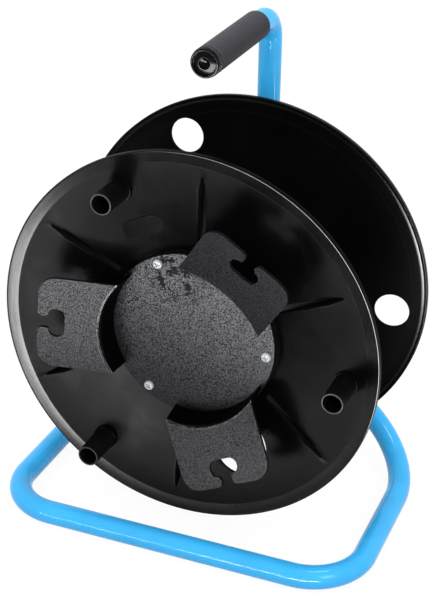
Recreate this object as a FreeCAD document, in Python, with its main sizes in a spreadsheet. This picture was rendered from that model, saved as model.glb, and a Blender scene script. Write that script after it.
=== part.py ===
import FreeCAD, Part
import math
import os
import Sketcher

# Empty drum for stage and outdoor cable: two flanges on a winding core turn on an axle that is
# bolted to a bent steel tube frame. The front flange is 310 mm across, a usual size of such drums.
# Row frame: Z up, the front of the drum faces -Y, the origin lies on the floor under the middle of
# the whole.

document = FreeCAD.newDocument("cable_drum")

SIZES = (
    ("flange_radius", 155.0, "outer radius of both flanges"),
    ("drum_width", 139.3, "front rim edge to rear rim edge"),
    ("flange_wall", 2.5, "wall of the flanges"),
    ("rim_lip", 10.0, "depth of the rim's turned lip"),
    ("ring_width", 10.0, "flat ring inside the rim"),
    ("ring_drop", 2.6, "ring's inner edge behind the rim edge"),
    ("front_hub_drop", 19.3, "front hub plate behind the front rim edge"),
    ("rear_hub_drop", 7.5, "rear hub plate inside the rear rim edge"),
    ("plate_margin", 1.0, "flat hub plate of both flanges past the core"),
    ("well_radius", 30.0, "well in the front hub plate for the axle nut"),
    ("well_depth", 14.2, "depth of that well"),
    ("core_radius", 70.0, "outside of the winding core"),
    ("core_wall", 3.0, "wall of the winding core"),
    ("boss_wall", 4.0, "wall of the bosses that hold the bushes"),
    ("screw_boss_radius", 4.8, "posts inside the core that take the screws"),
    ("screw_boss_depth", 22.0, "length of those posts"),
    ("drum_turn", 55.75, "angle of the first cable hook at rest, from +X towards +Z"),
    ("slit_width", 5.0, "radial channels in the front flange"),
    ("slit_spread", 29.5, "angle of a channel from its panel's middle"),
    ("slit_start_gap", 3.0, "inner end of a channel outside the hub plate"),
    ("slit_taper_inset", 33.0, "where a channel starts to narrow, inside the rim"),
    ("slit_tip_inset", 18.0, "outer end of a channel inside the rim"),
    ("slit_tip_width", 0.8, "width of a channel at its outer end"),
    ("slit_wall", 1.8, "walls round a channel behind the web"),
    ("plug_hole_inner_margin", 6.1, "round plug hole outside the hub plate"),
    ("plug_hole_outer_margin", 20.5, "that hole inside the rim's ring"),
    ("pad_length", 36.0, "oval pad on the front flange"),
    ("pad_width", 15.0, "its width"),
    ("pad_share", 0.485, "its place between the hub plate and a peg's seat"),
    ("pad_height", 0.7, "how far it stands out"),
    ("peg_inset", 26.6, "circle of the pegs inside the rim"),
    ("peg_radius", 8.5, "peg at its mouth"),
    ("peg_base_radius", 9.0, "peg at its base"),
    ("peg_bore_radius", 7.3, "bore of a peg"),
    ("peg_reach", 26.8, "peg's mouth in front of the front rim edge"),
    ("peg_floor", 4.0, "closed base of a peg"),
    ("peg_mouth_chamfer", 0.4, "broken edge at a peg's mouth"),
    ("peg_seat_radius", 10.0, "seat of a peg on the flange"),
    ("peg_seat_drop", 3.8, "seat behind the rim edge"),
    ("peg_seat_depth", 7.6, "height of the seat's boss"),
    ("peg_spigot_radius", 6.0, "spigot of a peg in its seat"),
    ("rear_hole_radius", 14.35, "holes in the rear flange"),
    ("rear_hole_inset", 27.9, "circle of those holes inside the rim"),
    ("cover_inset", 0.7, "edge of the hub cover inside the core"),
    ("cover_wall", 2.5, "wall of the hub cover"),
    ("cover_drop", 11.8, "face of the hub cover behind the front rim edge"),
    ("cover_edge_radius", 0.8, "rounded edge of the hub cover"),
    ("screw_inset", 7.1, "circle of the screws inside the core"),
    ("screw_radius", 2.0, "screws"),
    ("screw_clearance", 0.25, "round the screws in the plates"),
    ("screw_head_radius", 3.9, "screw heads"),
    ("screw_head_height", 2.2, "height of the screw heads"),
    ("screw_head_crown", 0.9, "rounded part of that height"),
    ("screw_length", 28.0, "shank of the cover's screws"),
    ("short_screw_length", 16.0, "shank of the rear screws"),
    ("recess_width", 1.1, "arms of a screw's cross recess"),
    ("recess_span", 4.4, "length of those arms"),
    ("recess_depth", 1.3, "depth of the recess"),
    ("hook_foot_inset", 4.0, "inside of a hook's wall from the cover's edge, at its face"),
    ("hook_lean", 2.0, "how far a hook's wall leans out up to its plate"),
    ("hook_wall", 2.5, "thickness of that wall"),
    ("hook_rise", 26.0, "hook plate in front of the cover's face, at the wall"),
    ("hook_half_width", 39.0, "half the width of a hook"),
    ("hook_reach", 47.3, "hook plate outward from its wall, along the plate"),
    ("hook_tilt", 15.7, "angle by which the plate leans to the front"),
    ("hook_plate", 2.6, "thickness of a hook's plate"),
    ("hook_corner_radius", 14.5, "outer corners of a hook"),
    ("keyhole_length", 24.3, "slot that holds the cable's end"),
    ("keyhole_width", 12.4, "width of that slot"),
    ("keyhole_lip", 9.0, "fingers between the slot and the hook's edge"),
    ("keyhole_neck", 9.4, "gap between the fingers"),
    ("sleeve_radius", 10.0, "steel sleeve that the drum turns on"),
    ("bush_clearance", 0.06, "radial running clearance on the sleeve"),
    ("bush_wall", 3.0, "wall of the bushes"),
    ("bush_length", 26.0, "length of the bushes in their bosses"),
    ("bush_flange_radius", 16.5, "collar of a bush"),
    ("bush_flange", 2.0, "thickness of that collar"),
    ("axial_play", 0.3, "end play of the drum at each side"),
    ("bolt_radius", 6.0, "axle bolt"),
    ("bolt_clearance", 0.2, "round the bolt"),
    ("bolt_end", 1.6, "thread past the nut"),
    ("hex_radius", 10.4, "corner radius of the bolt's head and the nut"),
    ("bolt_head", 7.5, "height of the bolt's head"),
    ("nut_height", 11.0, "height of the lock nut"),
    ("nut_collar", 3.0, "round collar of the lock nut in that height"),
    ("washer_radius", 16.0, "washer under the nut"),
    ("washer_thickness", 2.5, "its thickness"),
    ("spacer_radius", 14.0, "spacer between the drum and the post"),
    ("saddle_radius", 13.0, "saddles on both sides of the post"),
    ("saddle_thickness", 2.5, "saddle between the tube's side and its flat face"),
    ("saddle_wrap", 5.0, "how far a saddle reaches round the tube"),
    ("tube_radius", 9.5, "frame tube"),
    ("tube_wall", 1.5, "wall of the frame tube"),
    ("base_overhang", 5.2, "base loop past the flanges at each side"),
    ("bar_reach", 33.6, "middle of the front bar in front of the front rim edge"),
    ("base_corner_radius", 45.6, "front corners of the base loop, tube's middle"),
    ("leg_bend_radius", 76.0, "rear corners where the legs rise"),
    ("leg_lean", 55.6, "lean of the legs from upright"),
    ("apex_bend_radius", 40.0, "bend where the legs meet under the post"),
    ("floor_gap", 19.3, "flanges above the floor"),
    ("hand_gap", 45.4, "grip above the flanges"),
    ("handle_bend_radius", 20.0, "bend from the post to the handle"),
    ("handle_reach", 140.4, "end of the grip in front of the post's middle"),
    ("post_gap", 25.2, "rear rim edge to the post"),
    ("grip_radius", 11.6, "outside of the grip"),
    ("grip_start", 33.0, "rear end of the grip in front of the post's middle"),
    ("grip_edge", 1.0, "rounded ends of the grip"),
    ("grip_groove_width", 1.2, "groove round the grip behind its end cap"),
    ("grip_groove_depth", 0.7, "depth of that groove"),
    ("grip_groove_back", 2.2, "groove behind the end cap"),
    ("cap_radius", 11.2, "end cap of the grip"),
    ("cap_flange", 3.2, "thickness of the cap's head"),
    ("cap_edge", 1.1, "rounded edge of the cap's head"),
    ("cap_dish_radius", 9.6, "dish in the cap's face"),
    ("cap_dish_depth", 1.6, "depth of the dish"),
    ("cap_ring_radius", 4.4, "raised ring in the dish"),
    ("cap_ring_width", 0.9, "width of that ring"),
    ("cap_ring_height", 0.8, "height of that ring"),
    ("cap_hole_radius", 1.7, "small hole in the middle of the cap"),
    ("cap_hole_depth", 5.0, "depth of that hole"),
    ("cap_plug_length", 9.0, "plug of the cap in the tube"),
    ("cap_plug_gap", 0.1, "plug inside the tube"),
    ("fit_gap", 0.05, "fixed pieces that slip over or into each other"),
    ("cut_overrun", 3.0, "how far a cut runs past what it cuts"),
)

sheet = document.addObject("Spreadsheet::Sheet", "sizes")
for row, (name, value, meaning) in enumerate(SIZES, start=1):
    sheet.set("A%d" % row, name)
    sheet.set("B%d" % row, str(value))
    sheet.setAlias("B%d" % row, name)
    sheet.set("C%d" % row, meaning)
document.recompute()


class Size:
    """A size as a number, with the expression that ties it to the sheet."""

    def __init__(self, value, text):
        self.value = value
        self.text = text

    def join(self, other, sign, value):
        text = other.text if isinstance(other, Size) else repr(other)
        return Size(value, "(%s %s %s)" % (self.text, sign, text))

    def __add__(self, other):
        return self.join(other, "+", self.value + number(other))

    def __sub__(self, other):
        return self.join(other, "-", self.value - number(other))

    def __mul__(self, other):
        return self.join(other, "*", self.value * number(other))

    def __truediv__(self, other):
        return self.join(other, "/", self.value / number(other))

    def __neg__(self):
        return Size(-self.value, "(-1 * %s)" % self.text)


def number(item):
    return item.value if isinstance(item, Size) else float(item)


def cosine(angle):
    return Size(math.cos(math.radians(angle.value)), "cos(%s)" % angle.text)


def sine(angle):
    return Size(math.sin(math.radians(angle.value)), "sin(%s)" % angle.text)


def size(name):
    return Size(float(sheet.get(name)), "sizes." + name)


def start_body(label, placement):
    """A body with its own label, set down by a function that binds its placement."""
    body = document.addObject("PartDesign::Body", label)
    body.Label = label
    placement(body)
    return body


def plane(body, role):
    return [item for item in body.Origin.OriginFeatures if item.Role == role][0]


def start_sketch(body, name, role, lift=None, tilt=None, turn=0):
    """A sketch on one of the body's own planes, lifted off it, tilted about its upright axis and
    turned about its normal."""
    sketch = body.newObject("Sketcher::SketchObject", name)
    sketch.AttachmentSupport = [(plane(body, role), "")]
    sketch.MapMode = "FlatFace"
    rotation = FreeCAD.Rotation(FreeCAD.Vector(0, 0, 1), turn)
    if tilt is not None:
        rotation = rotation * FreeCAD.Rotation(FreeCAD.Vector(0, 1, 0), tilt.value)
    base = FreeCAD.Vector(*[number(item) for item in lift or (0, 0, 0)])
    sketch.AttachmentOffset = FreeCAD.Placement(base, rotation)
    for axis, item in zip("xyz", lift or ()):
        if isinstance(item, Size):
            sketch.setExpression("AttachmentOffset.Base." + axis, item.text)
    return sketch


def pin_point(sketch, edge, end, x, y, name):
    """Hold one point of a sketch at two sizes measured from the sketch's origin."""
    for kind, item in (("DistanceX", x), ("DistanceY", y)):
        index = sketch.addConstraint(Sketcher.Constraint(kind, -1, 1, edge, end, number(item)))
        if isinstance(item, Size):
            label = name + kind[-1].lower()
            sketch.renameConstraint(index, label)
            sketch.setExpression("Constraints." + label, item.text)


def pin_radius(sketch, edge, radius, name):
    index = sketch.addConstraint(Sketcher.Constraint("Radius", edge, radius.value))
    sketch.renameConstraint(index, name)
    sketch.setExpression("Constraints." + name, radius.text)


def draw_edge(sketch, start, corner):
    """A line, or an arc given by its radius and its turn: 1 to the left, -1 to the right."""
    first = FreeCAD.Vector(number(start[0]), number(start[1]), 0)
    last = FreeCAD.Vector(number(corner[0]), number(corner[1]), 0)
    if len(corner) == 2:
        return sketch.addGeometry(Part.LineSegment(first, last), False), 1, 2
    radius, turn = corner[2].value, corner[3]
    chord = last - first
    rise = math.sqrt(max(radius ** 2 - (chord.Length / 2) ** 2, 0))
    left = FreeCAD.Vector(-chord.y, chord.x, 0).normalize()
    middle = (first + last) * 0.5 + left * rise * turn
    begin, finish = (first, last) if turn > 0 else (last, first)
    angles = [math.atan2(point.y - middle.y, point.x - middle.x) for point in (begin, finish)]
    circle = Part.Circle(middle, FreeCAD.Vector(0, 0, 1), radius)
    edge = sketch.addGeometry(Part.ArcOfCircle(circle, angles[0], angles[1]), False)
    return (edge, 1, 2) if turn > 0 else (edge, 2, 1)


def outline(body, name, role, corners, closed=True, lift=None, tilt=None, turn=0):
    """A sketch through corners; each is (x, y), or (x, y, radius, turn) when an arc leads to it."""
    sketch = start_sketch(body, name, role, lift, tilt, turn)
    pairs = list(zip(corners, corners[1:] + corners[:1]))
    edges = [draw_edge(sketch, *pair) for pair in (pairs if closed else pairs[:-1])]
    for index, (edge, begin, finish) in enumerate(edges):
        following = edges[(index + 1) % len(edges)]
        if closed or index + 1 < len(edges):
            sketch.addConstraint(
                Sketcher.Constraint("Coincident", edge, finish, following[0], following[1]))
        pin_point(sketch, edge, begin, *pairs[index][0][:2], "p%d_" % index)
        target = pairs[index][1]
        if len(target) > 2:
            pin_radius(sketch, edge, target[2], "r%d" % index)
    if not closed:
        pin_point(sketch, edges[-1][0], edges[-1][2], *corners[-1][:2], "last_")
    if sketch.solve() != 0:
        raise RuntimeError("sketch %s doesn't solve" % name)
    return sketch


def circles(body, name, role, rings, lift=None):
    """A sketch of circles, each (x, y, radius)."""
    sketch = start_sketch(body, name, role, lift)
    for index, (x, y, radius) in enumerate(rings):
        middle = FreeCAD.Vector(number(x), number(y), 0)
        circle = Part.Circle(middle, FreeCAD.Vector(0, 0, 1), radius.value)
        edge = sketch.addGeometry(circle, False)
        pin_point(sketch, edge, 3, x, y, "c%d_" % index)
        pin_radius(sketch, edge, radius, "r%d" % index)
    if sketch.solve() != 0:
        raise RuntimeError("sketch %s doesn't solve" % name)
    return sketch


def feature(body, kind, name, profile, **values):
    """A feature on a profile; sizes are bound to the sheet, other values are set."""
    item = body.newObject(kind, name)
    item.Profile = profile
    for key, value in values.items():
        if isinstance(value, Size):
            setattr(item, key, value.value)
            item.setExpression(key, value.text)
        else:
            setattr(item, key, value)
    body.Tip = item
    return item


def revolve(body, name, corners, kind="PartDesign::Revolution", angle=None, lift=None):
    """Turn an outline in the plane of radius and height about the body's Z axis."""
    profile = outline(body, name + "_profile", "XZ_Plane", corners, lift=lift)
    values = {"ReferenceAxis": (profile, ["V_Axis"])}
    if angle is not None:
        values["Midplane"] = True
        values["Angle"] = angle
    return feature(body, kind, name, profile, **values)


def cut_through(body, name, profile, depth, both_ways=False):
    """A pocket of a stated depth, down from its sketch or to both sides of it."""
    before = body.Tip
    document.recompute()
    item = feature(body, "PartDesign::Pocket", name, profile, Length=depth, Midplane=both_ways)
    document.recompute()
    if item.Shape.Volume >= before.Shape.Volume:
        raise RuntimeError("pocket %s cuts nothing" % name)
    return item


def repeat(body, name, items, count=3):
    """Copies of features at equal angles about the body's Z axis."""
    pattern = body.newObject("PartDesign::PolarPattern", name)
    pattern.Originals = items
    axis = [item for item in body.Origin.OriginFeatures if item.Role == "Z_Axis"][0]
    pattern.Axis = (axis, [""])
    pattern.Angle = 360
    pattern.Occurrences = count
    body.Tip = pattern
    document.recompute()
    return pattern


QUARTER_TURN = 90.0
THIRD_TURN = 120.0

flange = size("flange_radius")
core_radius = size("core_radius")
half_drum = size("drum_width") / 2
rear_overhang = size("saddle_thickness") + size("bolt_head")
base_length = size("bar_reach") + size("drum_width") + size("post_gap") + size("tube_radius") * 3
post_y = (base_length - rear_overhang) / 2 - size("tube_radius")
bar_y = post_y + size("tube_radius") * 2 - base_length
drum_y = post_y - size("tube_radius") - size("post_gap") - half_drum
axle_height = flange + size("floor_gap")


def set_down(x, y, z, rotation):
    """Placement of a sub-part, its place bound to the sheet."""
    def place(item):
        base = FreeCAD.Vector(number(x), number(y), number(z))
        item.Placement = FreeCAD.Placement(base, rotation)
        for axis, value in zip("xyz", (x, y, z)):
            if isinstance(value, Size):
                item.setExpression("Placement.Base." + axis, value.text)
    return place


def on_axle(turn):
    """On the drum's middle, local Z to the front along the axle, turned about it."""
    to_front = FreeCAD.Rotation(FreeCAD.Vector(1, 0, 0), QUARTER_TURN)
    spin = FreeCAD.Rotation(FreeCAD.Vector(0, 0, 1), turn)
    return set_down(0, drum_y, axle_height, to_front * spin)


drum_place = on_axle(float(sheet.get("drum_turn")))
axle_place = on_axle(0)
wall = size("flange_wall")
plate = core_radius + size("plate_margin")
ring_inner = flange - size("ring_width")
front_plate = half_drum - size("front_hub_drop")
front_floor = front_plate - size("well_depth")
rear_plate = half_drum - size("rear_hub_drop")
bush_outer = size("sleeve_radius") + size("bush_clearance") + size("bush_wall")
boss_outer = bush_outer + size("boss_wall")


peg_circle = flange - size("peg_inset")
cover_radius = core_radius - size("cover_inset")
screw_circle = core_radius - size("screw_inset")


def rim_corners(hub_height, inner):
    """Outline of a flange from its hub plate out over the rim and back on the inner side."""
    ring_slope = size("ring_drop") / size("ring_width")
    return [
        (plate, hub_height),
        (ring_inner, half_drum - size("ring_drop")),
        (flange, half_drum),
        (flange, half_drum - size("rim_lip")),
        (flange - wall, half_drum - size("rim_lip")),
        (flange - wall, half_drum - ring_slope * wall - wall),
        (ring_inner, half_drum - size("ring_drop") - wall),
        (plate, hub_height - wall),
    ] + inner


def peg_spot(turn):
    """Place on the circle of the pegs, whose first lies a sixth of a turn from a hook."""
    return THIRD_TURN / 2 + turn * THIRD_TURN


def polar(radius, degrees):
    """The two sizes of a point at this radius and angle."""
    return radius * math.cos(math.radians(degrees)), radius * math.sin(math.radians(degrees))


# Front flange: dished plate with a turned rim, six narrow radial channels whose floors lie in the
# plane of the hub plate, a plug hole under one hook, an oval pad and the seats of the pegs.
front = start_body("front_flange", drum_place)
revolve(front, "front_dish", rim_corners(front_plate, [
    (size("well_radius") + wall, front_plate - wall),
    (size("well_radius") + wall, front_floor - wall),
    (boss_outer, front_floor - wall),
    (boss_outer, front_floor - size("bush_length")),
    (bush_outer, front_floor - size("bush_length")),
    (bush_outer, front_floor),
    (size("well_radius"), front_floor),
    (size("well_radius"), front_plate),
]))


def slit_corners(degrees, margin):
    """A channel along a radius at this angle, narrowing to its outer end, with a margin round it."""
    start = plate + size("slit_start_gap") - margin
    taper = flange - size("slit_taper_inset")
    tip = flange - size("slit_tip_inset") + margin
    wide = size("slit_width") / 2 + margin
    narrow = size("slit_tip_width") / 2 + margin
    shape = ((start, -wide), (taper, -wide), (tip, -narrow), (tip, narrow), (taper, wide), (start, wide))
    return [(along * cosine(degrees) - across * sine(degrees),
             along * sine(degrees) + across * cosine(degrees)) for along, across in shape]


SIDES = (("left", size("slit_spread")), ("right", -size("slit_spread")))
for side, spread in SIDES:
    rib = feature(front, "PartDesign::Pad", "rib_" + side,
                  outline(front, "rib_outline_" + side, "XY_Plane",
                          slit_corners(spread, size("slit_wall")), lift=(0, 0, front_plate - wall)),
                  Length=size("front_hub_drop"))
    repeat(front, "ribs_" + side, [rib])
revolve(front, "rib_trim", [
    (plate - size("slit_wall"), front_plate),
    (plate, front_plate),
    (ring_inner, half_drum - size("ring_drop")),
    (ring_inner, half_drum),
    (plate - size("slit_wall"), half_drum),
], kind="PartDesign::Groove")
for side, spread in SIDES:
    slit = cut_through(front, "slit_" + side,
                       outline(front, "slit_outline_" + side, "XY_Plane",
                               slit_corners(spread, Size(0, "0")), lift=(0, 0, half_drum)),
                       size("front_hub_drop"))
    repeat(front, "slits_" + side, [slit])
seat_x, seat_y = polar(peg_circle, peg_spot(0))
seat_height = half_drum - size("peg_seat_drop")
seat = feature(front, "PartDesign::Pad", "peg_seat",
               circles(front, "peg_seat_ring", "XY_Plane",
                       [(seat_x, seat_y, size("peg_seat_radius"))], lift=(0, 0, seat_height)),
               Length=size("peg_seat_depth"), Reversed=True)
repeat(front, "peg_seats", [seat])
seat_bore = cut_through(front, "peg_seat_bore",
                        circles(front, "peg_seat_hole", "XY_Plane",
                                [(seat_x, seat_y, size("peg_spigot_radius"))],
                                lift=(0, 0, half_drum)),
                        half_drum / 2)
repeat(front, "peg_seat_bores", [seat_bore])
plug_hole_radius = (ring_inner - plate - size("plug_hole_inner_margin")
                    - size("plug_hole_outer_margin")) / 2
plug_x, plug_y = polar(plate + size("plug_hole_inner_margin") + plug_hole_radius, -THIRD_TURN)
cut_through(front, "plug_hole",
            circles(front, "plug_hole_ring", "XY_Plane", [(plug_x, plug_y, plug_hole_radius)],
                    lift=(0, 0, half_drum)),
            half_drum)
screw_x, screw_y = polar(screw_circle, peg_spot(0))
screw_hole = size("screw_radius") + size("screw_clearance")
front_screw_hole = cut_through(front, "screw_hole",
                               circles(front, "screw_hole_ring", "XY_Plane",
                                       [(screw_x, screw_y, screw_hole)], lift=(0, 0, half_drum)),
                               half_drum)
repeat(front, "screw_holes", [front_screw_hole])
web_rise = front_plate - half_drum + size("ring_drop")
web_run = plate - ring_inner
web_tilt = Size(-math.degrees(math.atan(web_rise.value / web_run.value)),
                "-atan(%s / %s)" % (web_rise.text, web_run.text))
pad_middle = plate + (peg_circle - size("peg_seat_radius") - plate) * size("pad_share")
pad_x, pad_y = polar(pad_middle, peg_spot(0))
pad_half = (size("pad_length") - size("pad_width")) / 2
pad_end = size("pad_width") / 2
pad_top = half_drum - size("ring_drop") + web_rise * (ring_inner - pad_middle) / -web_run
pad_shape = outline(front, "pad_outline", "XY_Plane", [
    (-pad_end, -pad_half),
    (0, -pad_half - pad_end, pad_end, 1),
    (pad_end, -pad_half, pad_end, 1),
    (pad_end, pad_half),
    (0, pad_half + pad_end, pad_end, 1),
    (-pad_end, pad_half, pad_end, 1),
], lift=(pad_x, pad_y, pad_top + size("pad_height")), tilt=web_tilt, turn=peg_spot(0))
feature(front, "PartDesign::Pad", "oval_pad", pad_shape, Reversed=True,
        Length=size("pad_height") + wall / 2)

# Rear flange: the same rim, a flatter dish and three round holes.
rear = start_body("rear_flange", drum_place)
revolve(rear, "rear_dish", [(x, -y) for x, y in rim_corners(rear_plate, [
    (boss_outer, rear_plate - wall),
    (boss_outer, rear_plate - size("bush_length")),
    (bush_outer, rear_plate - size("bush_length")),
    (bush_outer, rear_plate),
])])
hole_x, hole_y = polar(flange - size("rear_hole_inset"), peg_spot(0))
rear_hole = cut_through(rear, "rear_hole",
                        circles(rear, "rear_hole_ring", "XY_Plane",
                                [(hole_x, hole_y, size("rear_hole_radius"))],
                                lift=(0, 0, -half_drum / 2)),
                        half_drum)
repeat(rear, "rear_holes", [rear_hole])
rear_screw_hole = cut_through(rear, "screw_hole",
                              circles(rear, "rear_screw_hole_ring", "XY_Plane",
                                      [(screw_x, screw_y, screw_hole)],
                                      lift=(0, 0, -half_drum / 2)),
                              half_drum)
repeat(rear, "rear_screw_holes", [rear_screw_hole])

# Winding core: tube between the flanges with posts for the screws of both sides.
core = start_body("winding_core", drum_place)
core_front = front_plate - wall
core_rear = -(rear_plate - wall)
core_inner = core_radius - size("core_wall")
revolve(core, "core_tube", [
    (core_inner, core_rear),
    (core_radius, core_rear),
    (core_radius, core_front),
    (core_inner, core_front),
])
for side, height, back in (("front", core_front, True), ("rear", core_rear, False)):
    post = feature(core, "PartDesign::Pad", "screw_post_" + side,
                   circles(core, "screw_post_ring_" + side, "XY_Plane",
                           [(screw_x, screw_y, size("screw_boss_radius"))], lift=(0, 0, height)),
                   Length=size("screw_boss_depth"), Reversed=back)
    repeat(core, "screw_posts_" + side, [post])
    lift = height + size("cut_overrun") if back else height - size("cut_overrun")
    document.recompute()
    bore = feature(core, "PartDesign::Pocket", "screw_bore_" + side,
                   circles(core, "screw_bore_ring_" + side, "XY_Plane",
                           [(screw_x, screw_y, size("screw_radius"))], lift=(0, 0, lift)),
                   Length=size("screw_boss_depth"), Reversed=not back)
    repeat(core, "screw_bores_" + side, [bore])

# Hub cover: shallow cap with three cable hooks, moulded in one piece.
cover = start_body("hub_cover", drum_place)
cover_face = half_drum - size("cover_drop")
hook_height = cover_face + size("hook_rise")
hook_foot = cover_radius - size("hook_foot_inset")
hook_top = hook_foot + size("hook_lean")
revolve(cover, "cover_cap", [
    (0, cover_face - size("cover_wall")),
    (cover_radius - size("cover_wall"), cover_face - size("cover_wall")),
    (cover_radius - size("cover_wall"), front_plate),
    (cover_radius, front_plate),
    (cover_radius, cover_face - size("cover_edge_radius")),
    (cover_radius - size("cover_edge_radius"), cover_face, size("cover_edge_radius"), 1),
    (0, cover_face),
])
hook_angle = Size(2 * math.degrees(math.asin(size("hook_half_width").value / hook_top.value)),
                  "2 * asin(%s / %s)" % (size("hook_half_width").text, hook_top.text))
wall_top = hook_height - size("hook_plate") / 2
hook_wall = revolve(cover, "hook_wall", [
    (hook_foot, cover_face - size("cover_wall") / 2),
    (hook_foot + size("hook_wall"), cover_face - size("cover_wall") / 2),
    (hook_top + size("hook_wall"), wall_top),
    (hook_top, wall_top),
], angle=hook_angle)
reach = size("hook_reach")
half = size("hook_half_width")
corner = size("hook_corner_radius")
neck = size("keyhole_neck") / 2
lip = size("keyhole_lip") / 2
slot_half = size("keyhole_length") / 2
slot_end = size("keyhole_width") / 2
slot_out = reach - size("keyhole_lip")
slot_in = slot_out - size("keyhole_width")
root_in = size("hook_half_width") - hook_top
plate_shape = outline(cover, "hook_outline", "XY_Plane", [
    (root_in, -half),
    (reach - corner, -half),
    (reach, corner - half, corner, 1),
    (reach, -neck - lip),
    (reach - lip, -neck, lip, 1),
    (slot_out, -neck - lip, lip, 1),
    (slot_out, slot_end - slot_half),
    (slot_out - slot_end, -slot_half, slot_end, -1),
    (slot_in, slot_end - slot_half, slot_end, -1),
    (slot_in, slot_half - slot_end),
    (slot_out - slot_end, slot_half, slot_end, -1),
    (slot_out, slot_half - slot_end, slot_end, -1),
    (slot_out, neck + lip),
    (reach - lip, neck, lip, 1),
    (reach, neck + lip, lip, 1),
    (reach, half - corner),
    (reach - corner, half, corner, 1),
    (root_in, half),
], lift=(hook_top, 0, hook_height), tilt=-size("hook_tilt"))
hook_plate = feature(cover, "PartDesign::Pad", "hook_plate", plate_shape,
                     Length=size("hook_plate"), Reversed=True)
document.recompute()
over_height = hook_height + size("hook_plate")
slope_in = size("hook_lean") / size("hook_rise")
hook_hollow = revolve(cover, "hook_hollow", [
    (0, cover_face),
    (hook_foot, cover_face),
    (hook_top + slope_in * size("hook_plate"), over_height),
    (0, over_height),
], kind="PartDesign::Groove")
document.recompute()
repeat(cover, "hooks", [hook_wall, hook_plate, hook_hollow])
cover_hole = cut_through(cover, "screw_hole",
                         circles(cover, "cover_hole_ring", "XY_Plane",
                                 [(screw_x, screw_y, screw_hole)],
                                 lift=(0, 0, cover_face + size("cut_overrun"))),
                         size("cover_drop"))
repeat(cover, "cover_holes", [cover_hole])

# Pegs: hollow tubes that stand on the front flange; a spigot sits in the seat's bore.
seat_top = half_drum - size("peg_seat_drop")
peg_top = half_drum + size("peg_reach")


def peg_place(turn):
    """A peg stands on its seat, local Z to the front."""
    angle = float(sheet.get("drum_turn")) + peg_spot(turn)
    x, z = polar(peg_circle, angle)
    return set_down(x, drum_y, axle_height + z,
                    FreeCAD.Rotation(FreeCAD.Vector(1, 0, 0), QUARTER_TURN))


PEG_NAMES = ("peg_upper", "peg_lower", "peg_right")
for turn, label in enumerate(PEG_NAMES):
    peg = start_body(label, peg_place(turn))
    revolve(peg, label + "_turned", [
        (0, seat_top - size("peg_seat_depth")),
        (size("peg_spigot_radius"), seat_top - size("peg_seat_depth")),
        (size("peg_spigot_radius"), seat_top),
        (size("peg_base_radius"), seat_top),
        (size("peg_radius"), peg_top - size("peg_mouth_chamfer")),
        (size("peg_radius") - size("peg_mouth_chamfer"), peg_top),
        (size("peg_bore_radius"), peg_top),
        (size("peg_bore_radius"), seat_top + size("peg_floor")),
        (0, seat_top + size("peg_floor")),
    ])


def screw_set(label, height, length, facing):
    """Three equal screws with rounded heads and cross recesses, pointing into the drum."""
    group = start_body(label, on_axle(float(sheet.get("drum_turn")) + peg_spot(0)))
    group.AllowCompound = True
    head = size("screw_head_radius")
    crown = size("screw_head_crown")
    top = height + size("screw_head_height") * facing
    turned = revolve(group, label + "_turned", [
        (0, height - length * facing),
        (size("screw_radius"), height - length * facing),
        (size("screw_radius"), height),
        (head, height),
        (head, top - crown * facing),
        (head - crown, top),
        (0, top),
    ], lift=(screw_circle, 0, 0))
    arm = size("recess_width") / 2
    span = size("recess_span") / 2
    cross = outline(group, label + "_cross", "XY_Plane", [
        (-span, -arm), (-arm, -arm), (-arm, -span), (arm, -span), (arm, -arm), (span, -arm),
        (span, arm), (arm, arm), (arm, span), (-arm, span), (-arm, arm), (-span, arm),
    ], lift=(screw_circle, 0, top))
    document.recompute()
    recess = feature(group, "PartDesign::Pocket", label + "_recess", cross,
                     Length=size("recess_depth"), Reversed=facing < 0)
    document.recompute()
    repeat(group, label + "_set", [turned, recess])


screw_set("cover_screws", cover_face, size("screw_length"), 1)
screw_set("rear_flange_screws", -rear_plate, size("short_screw_length"), -1)


# Bushes: plain bearings in both bosses, running on the sleeve.
def bush(label, floor, facing):
    """A collared bush; its collar lies on the flange's boss, facing outward."""
    body = start_body(label, drum_place)
    bore = size("sleeve_radius") + size("bush_clearance")
    revolve(body, label + "_turned", [
        (bore, floor - size("bush_length") * facing),
        (bush_outer, floor - size("bush_length") * facing),
        (bush_outer, floor),
        (size("bush_flange_radius"), floor),
        (size("bush_flange_radius"), floor + size("bush_flange") * facing),
        (bore, floor + size("bush_flange") * facing),
    ])
    return body


bush("front_bush", front_floor, 1)
bush("rear_bush", -rear_plate, -1)

# Frame: base loop whose legs rise and meet under the post; the post bends into the handle.
bolt_hole = size("bolt_radius") + size("bolt_clearance")
tube = size("tube_radius")
tube_inner = tube - size("tube_wall")
side_x = flange + size("base_overhang") - tube
lean = size("leg_lean")
apex_z = tube + side_x * cosine(lean) / sine(lean)
apex_top = apex_z - size("apex_bend_radius") / sine(lean) + size("apex_bend_radius")


def bend(before, corner_point, after, radius):
    """The two ends and the middle of the arc that rounds a corner of a path."""
    towards = (before - corner_point).normalize()
    away = (after - corner_point).normalize()
    half_angle = towards.getAngle(away) / 2
    run = radius / math.tan(half_angle)
    inward = (towards + away).normalize()
    middle = corner_point + inward * (radius / math.sin(half_angle) - radius)
    return corner_point + towards * run, middle, corner_point + away * run


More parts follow.
